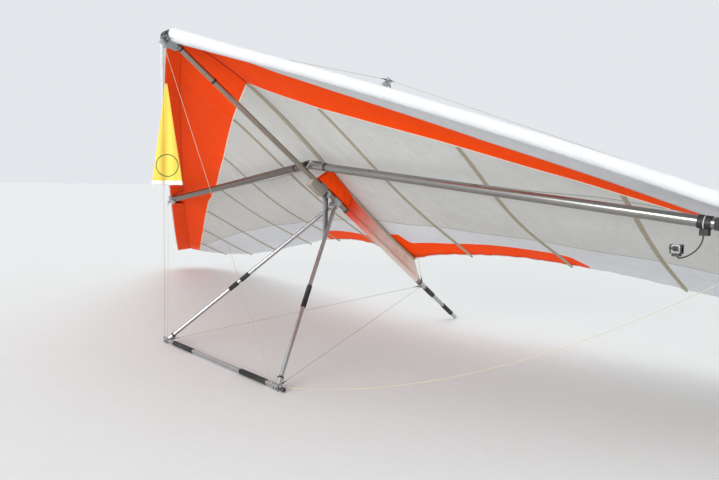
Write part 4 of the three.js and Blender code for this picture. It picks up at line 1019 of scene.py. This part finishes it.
for aft, size in bandSizes["keel"].items():
    band(parked((0, aft, 0)), keelWay, *size)
at, way, radius, wire = bandSizes["tailRing"]
bands.ring(parked(at), way, radius, wire)
crossWay = spots["crossbarEnd"] - spots["crossbarRoot"]
part = (bandSizes["clampSpan"] - spots["crossbarRoot"][0]) / (junction[0] - spots["crossbarRoot"][0])
clampAt = parked(spots["crossbarRoot"] + crossWay * part)
along = unit(parkedWay(crossWay))
band(clampAt, along, *bandSizes["clamp"])
band(clampAt + along * bandSizes["wrapOut"], along, *bandSizes["wrap"])
for side, sign in sides:
    way = unit(parkedWay(mirrored(crossWay, sign)))
    band(parked(mirrored(spots["crossbarRoot"] + vec(*bandSizes["rootOut"]), sign)), way, *bandSizes["root"])
    s, radius, wire = bandSizes["tipRing"]
    edgeWay = unit(parkedWay(edgeAt(5.6, sign) - edgeAt(5.5, sign)))
    bands.ring(parked(edgeAt(s, sign)), edgeWay, radius, wire, slot=4)
bands.build("bands", [steel, blackSteel, webbing["main"], cloth["pocket"], stringFinish], "airframe", "dark_plate")
print("fittings made")

# Camera on the crossbar: a grey case with dark rims, a lens at its end, one in front and a button
camera = {
    "arm": (-0.094, -0.095, -0.1243), "clampDown": 0.051, "foot": (0.040, 0.030, 0.014), "footUp": 0.0073,
    "case": (0.060, 0.030, 0.046), "caseUp": 0.0376, "round": 0.007, "rim": 0.010, "rimOver": 0.003,
    "barrel": ((0, 0), (0, 0.0125), (0.004, 0.0125), (0.006, 0.0115), (0.006, 0.009), (0.003, 0.0085), (0.003, 0)),
    "glass": ((0, 0.0086), (0.0012, 0.006), (0.002, 0.003), (0.0023, 0)),
    "front": ((0, 0), (0, 0.0105), (0.006, 0.0105), (0.008, 0.009), (0.008, 0)),
    "button": ((0, 0), (0, 0.005), (0.0016, 0.0048), (0.0022, 0)),
    "screw": ((0, 0), (0, 0.006), (0.004, 0.006), (0.005, 0.0045), (0.005, 0)),
}
armFoot = clampAt + plumb * camera["clampDown"] + vec(*camera["arm"])
footCentre = armFoot - plumb * camera["footUp"]
middle = armFoot - plumb * camera["caseUp"]
caseFinish = finish("camera_case_grey", (150, 155, 162), (186, 190, 196), (0.25, 0.4), "grain", 0.25, 0.06,
                    0.0003, 0.1, coat=0.3, Scale=600.0)
glassFinish = finish("lens_glass", (10, 12, 18), (22, 26, 36), (0.04, 0.08), "grain", 0, 0.0, 0.0001, 0.02,
                     coat=1.0, Scale=20.0)
heap = Heap()
heap.block(middle, camera["case"], camera["round"])
w, d, h = camera["case"]
rim, over = camera["rim"], camera["rimOver"]
for face in (-1, 1):
    heap.block(middle + sideWay * face * (w - rim) / 2, (rim, d + over, h + over), 0.004, slot=1)
heap.block(middle + vec(0.004, -0.0155, 0.002), (0.026, 0.003, 0.028), 0.0012, slot=1)
lens = middle + vec(-w / 2 + 0.001, 0, 0.004)
heap.turn(lens, -sideWay, camera["barrel"], 28, 1)
heap.turn(lens - sideWay * 0.003, -sideWay, camera["glass"], 24, 2)
heap.turn(middle + vec(-0.008, -0.015, 0.003), forward, camera["front"], 24, 1)
heap.turn(middle + vec(0.014, 0, 0.023), -plumb, camera["button"], 16, 1)
case = heap.build("camera_body", [caseFinish, blackPlastic, glassFinish], "airframe", "camera_case")
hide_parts("camera")
heap = Heap()
heap.block(footCentre, camera["foot"], 0.0035)
heap.turn(footCentre + sideWay * 0.020, sideWay, camera["screw"], 16)
foot = heap.build("camera_foot_piece", [blackPlastic], "airframe", "black_plastic")
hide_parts("camera_foot")

# Padded grey box under the keel, with a lid seam and two straps
box = {
    "centre": (0, 1.635, -0.0415), "size": (0.070, 0.168, 0.062), "round": 0.009, "seam": (0.0725, 0.1705, 0.004),
    "seamDown": 0.004, "seamRound": 0.0018, "strap": (0.0735, 0.020, 0.0655), "strapAt": (-0.045, 0.045),
    "strapRound": 0.010,
}
greyFinish = finish("grey_box_cover", (132, 124, 116), (160, 152, 144), (0.6, 0.75), "woven", 0, 0.25, 0.002,
                    0.12, uv=True, Pitch=0.003, Creases=0.4)
heap = Heap()
centre = parked(box["centre"])
heap.block(centre, box["size"], box["round"], wingAxes)
heap.block(centre - upWay * box["seamDown"], box["seam"], box["seamRound"], wingAxes, 1)
for y in box["strapAt"]:
    heap.block(centre + keelWay * y, box["strap"], box["strapRound"], wingAxes)
boxPiece = heap.build("grey_box_piece", [greyFinish, cloth["tape_batten_shadow"]], "airframe", "grey_box")
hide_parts("keel_box")
print("camera and box made")

# Finishes for the parts that keep their CAD shape: two tones and the roughness
metals = {
    "aluminium": ((146, 147, 149), (196, 197, 199), (0.13, 0.27)),
    # the keel: the same light aluminium, painted grey-brown as painted shade and a warm painted reflection of the
    # sail above it
    "keel": ((140, 130, 120), (182, 172, 160), (0.28, 0.42)),
    # the crossbars: the same aluminium, painted darker; the left as a painted reflection of dark ground, the right
    # darker and browner still as painted shade
    "left": ((128, 127, 125), (162, 161, 158), (0.17, 0.28)),
    "right": ((94, 88, 84), (126, 119, 114), (0.3, 0.44)),
}
aluminium = metals["aluminium"]
nodeFinish = {
    "keel_tube": metalFinish("keel_shaded_grey_brown", *metals["keel"], way=keelWay, dust=0.2),
    "tail_tube": metalFinish("tail_bright", *aluminium, way=keelWay),
    "kingpost": metalFinish("kingpost_bright", *aluminium, way=upWay),
    "base_bar": metalFinish("base_bar_bright", *aluminium, way=sideWay),
}
for side, sign in sides:
    edgeWay, barWay, tubeWay = (parkedWay(mirrored(way, sign)) for way in (
        edgeAt(3.0) - edgeAt(1.0), crossWay, spots["corner"] - spots["apex"]))
    nodeFinish[f"leading_edge_front_{side}"] = metalFinish(f"edge_front_{side}", *aluminium, way=edgeWay)
    nodeFinish[f"leading_edge_rear_{side}"] = metalFinish(f"edge_rear_{side}", *aluminium, way=edgeWay)
    nodeFinish[f"crossbar_{side}"] = metalFinish(f"crossbar_{side}_painted_dark", *metals[side], way=barWay)
    nodeFinish[f"downtube_{side}"] = metalFinish(f"downtube_{side}_bright", *aluminium, way=tubeWay)
bright = metalFinish("fitting_bright", (164, 165, 167), (214, 215, 217), (0.2, 0.38), dust=0.12)
dark = metalFinish("plate_grey", (112, 115, 120), (158, 161, 166), (0.3, 0.46), dust=0.15, metal=0.8)
wirePlain = metalFinish("wire_plain", (158, 152, 134), (198, 192, 174), (0.35, 0.5), metal=0.6)
kinds = (
    (bright, ("apex_bracket", "apex_knuckle", "corner_left", "corner_right", "crossbar_bracket_left",
              "crossbar_bracket_right", "crossbar_hinge", "hang_bracket", "kingpost_cap", "nose_catch", "rear_tang",
              "tail_plug")),
    (dark, ("nose_plate_upper", "nose_plate_lower", "nose_sleeve", "kingpost_base")),
    (blackPlastic, ("camera_arm", "camera_clamp", "edge_cap_left", "edge_cap_right", "keel_rear_sleeve",
                    "tail_sleeve")),
    (wirePlain, ("nose_wire_left", "nose_wire_right", "top_front_wire", "top_rear_wire", "top_side_wire_left",
                 "top_side_wire_right")),
)
for material, nodes in kinds:
    nodeFinish.update(dict.fromkeys(nodes, material))
for node, material in nodeFinish.items():
    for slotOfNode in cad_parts[node].material_slots:
        slotOfNode.material = material
print("finishes set")

# Floor, backdrop and lights: wide suns, so the light is soft and the same all over the span and the floor
studio = {
    "sky": (233, 236, 240), "skyStrength": 0.95, "floorHalf": 400, "floorDown": 0.0005,
    "lamps": {"front": {"from": (0.12, -1.0, 0.15), "angle": 50.0, "strength": 3.7},
              "top": {"from": (-0.15, 0.25, 1.0), "angle": 80.0, "strength": 0.8}},
}
heap = Heap()
span = np.linspace(-studio["floorHalf"], studio["floorHalf"], 41)
x, y = np.meshgrid(span, span, indexing="ij")
heap.grid(np.stack([x, y, 0 * x - studio["floorDown"]], -1))
floorFinish = finish("floor_pale", (207, 208, 206), (217, 218, 216), (0.7, 0.85), "grain", 0, 0.03, 0.002, 0.1,
                     (200, 198, 192), Scale=30.0)
heap.build("floor", [floorFinish])
world = bpy.data.worlds.new("studio")
world.use_nodes = True
background = world.node_tree.nodes["Background"].inputs
background["Color"].default_value = linear(*studio["sky"])
background["Strength"].default_value = studio["skyStrength"]
bpy.context.scene.world = world
bpy.context.scene.view_settings.view_transform = "Standard"
for name, k in studio["lamps"].items():
    data = bpy.data.lights.new(name, "SUN")
    data.angle = np.radians(k["angle"])
    data.energy = k["strength"]
    lamp = bpy.data.objects.new(name, data)
    lamp.rotation_euler = Vector(k["from"]).to_track_quat("Z", "Y").to_euler()
    lamp.location = Vector(k["from"]) * 6
    bpy.context.scene.collection.objects.link(lamp)
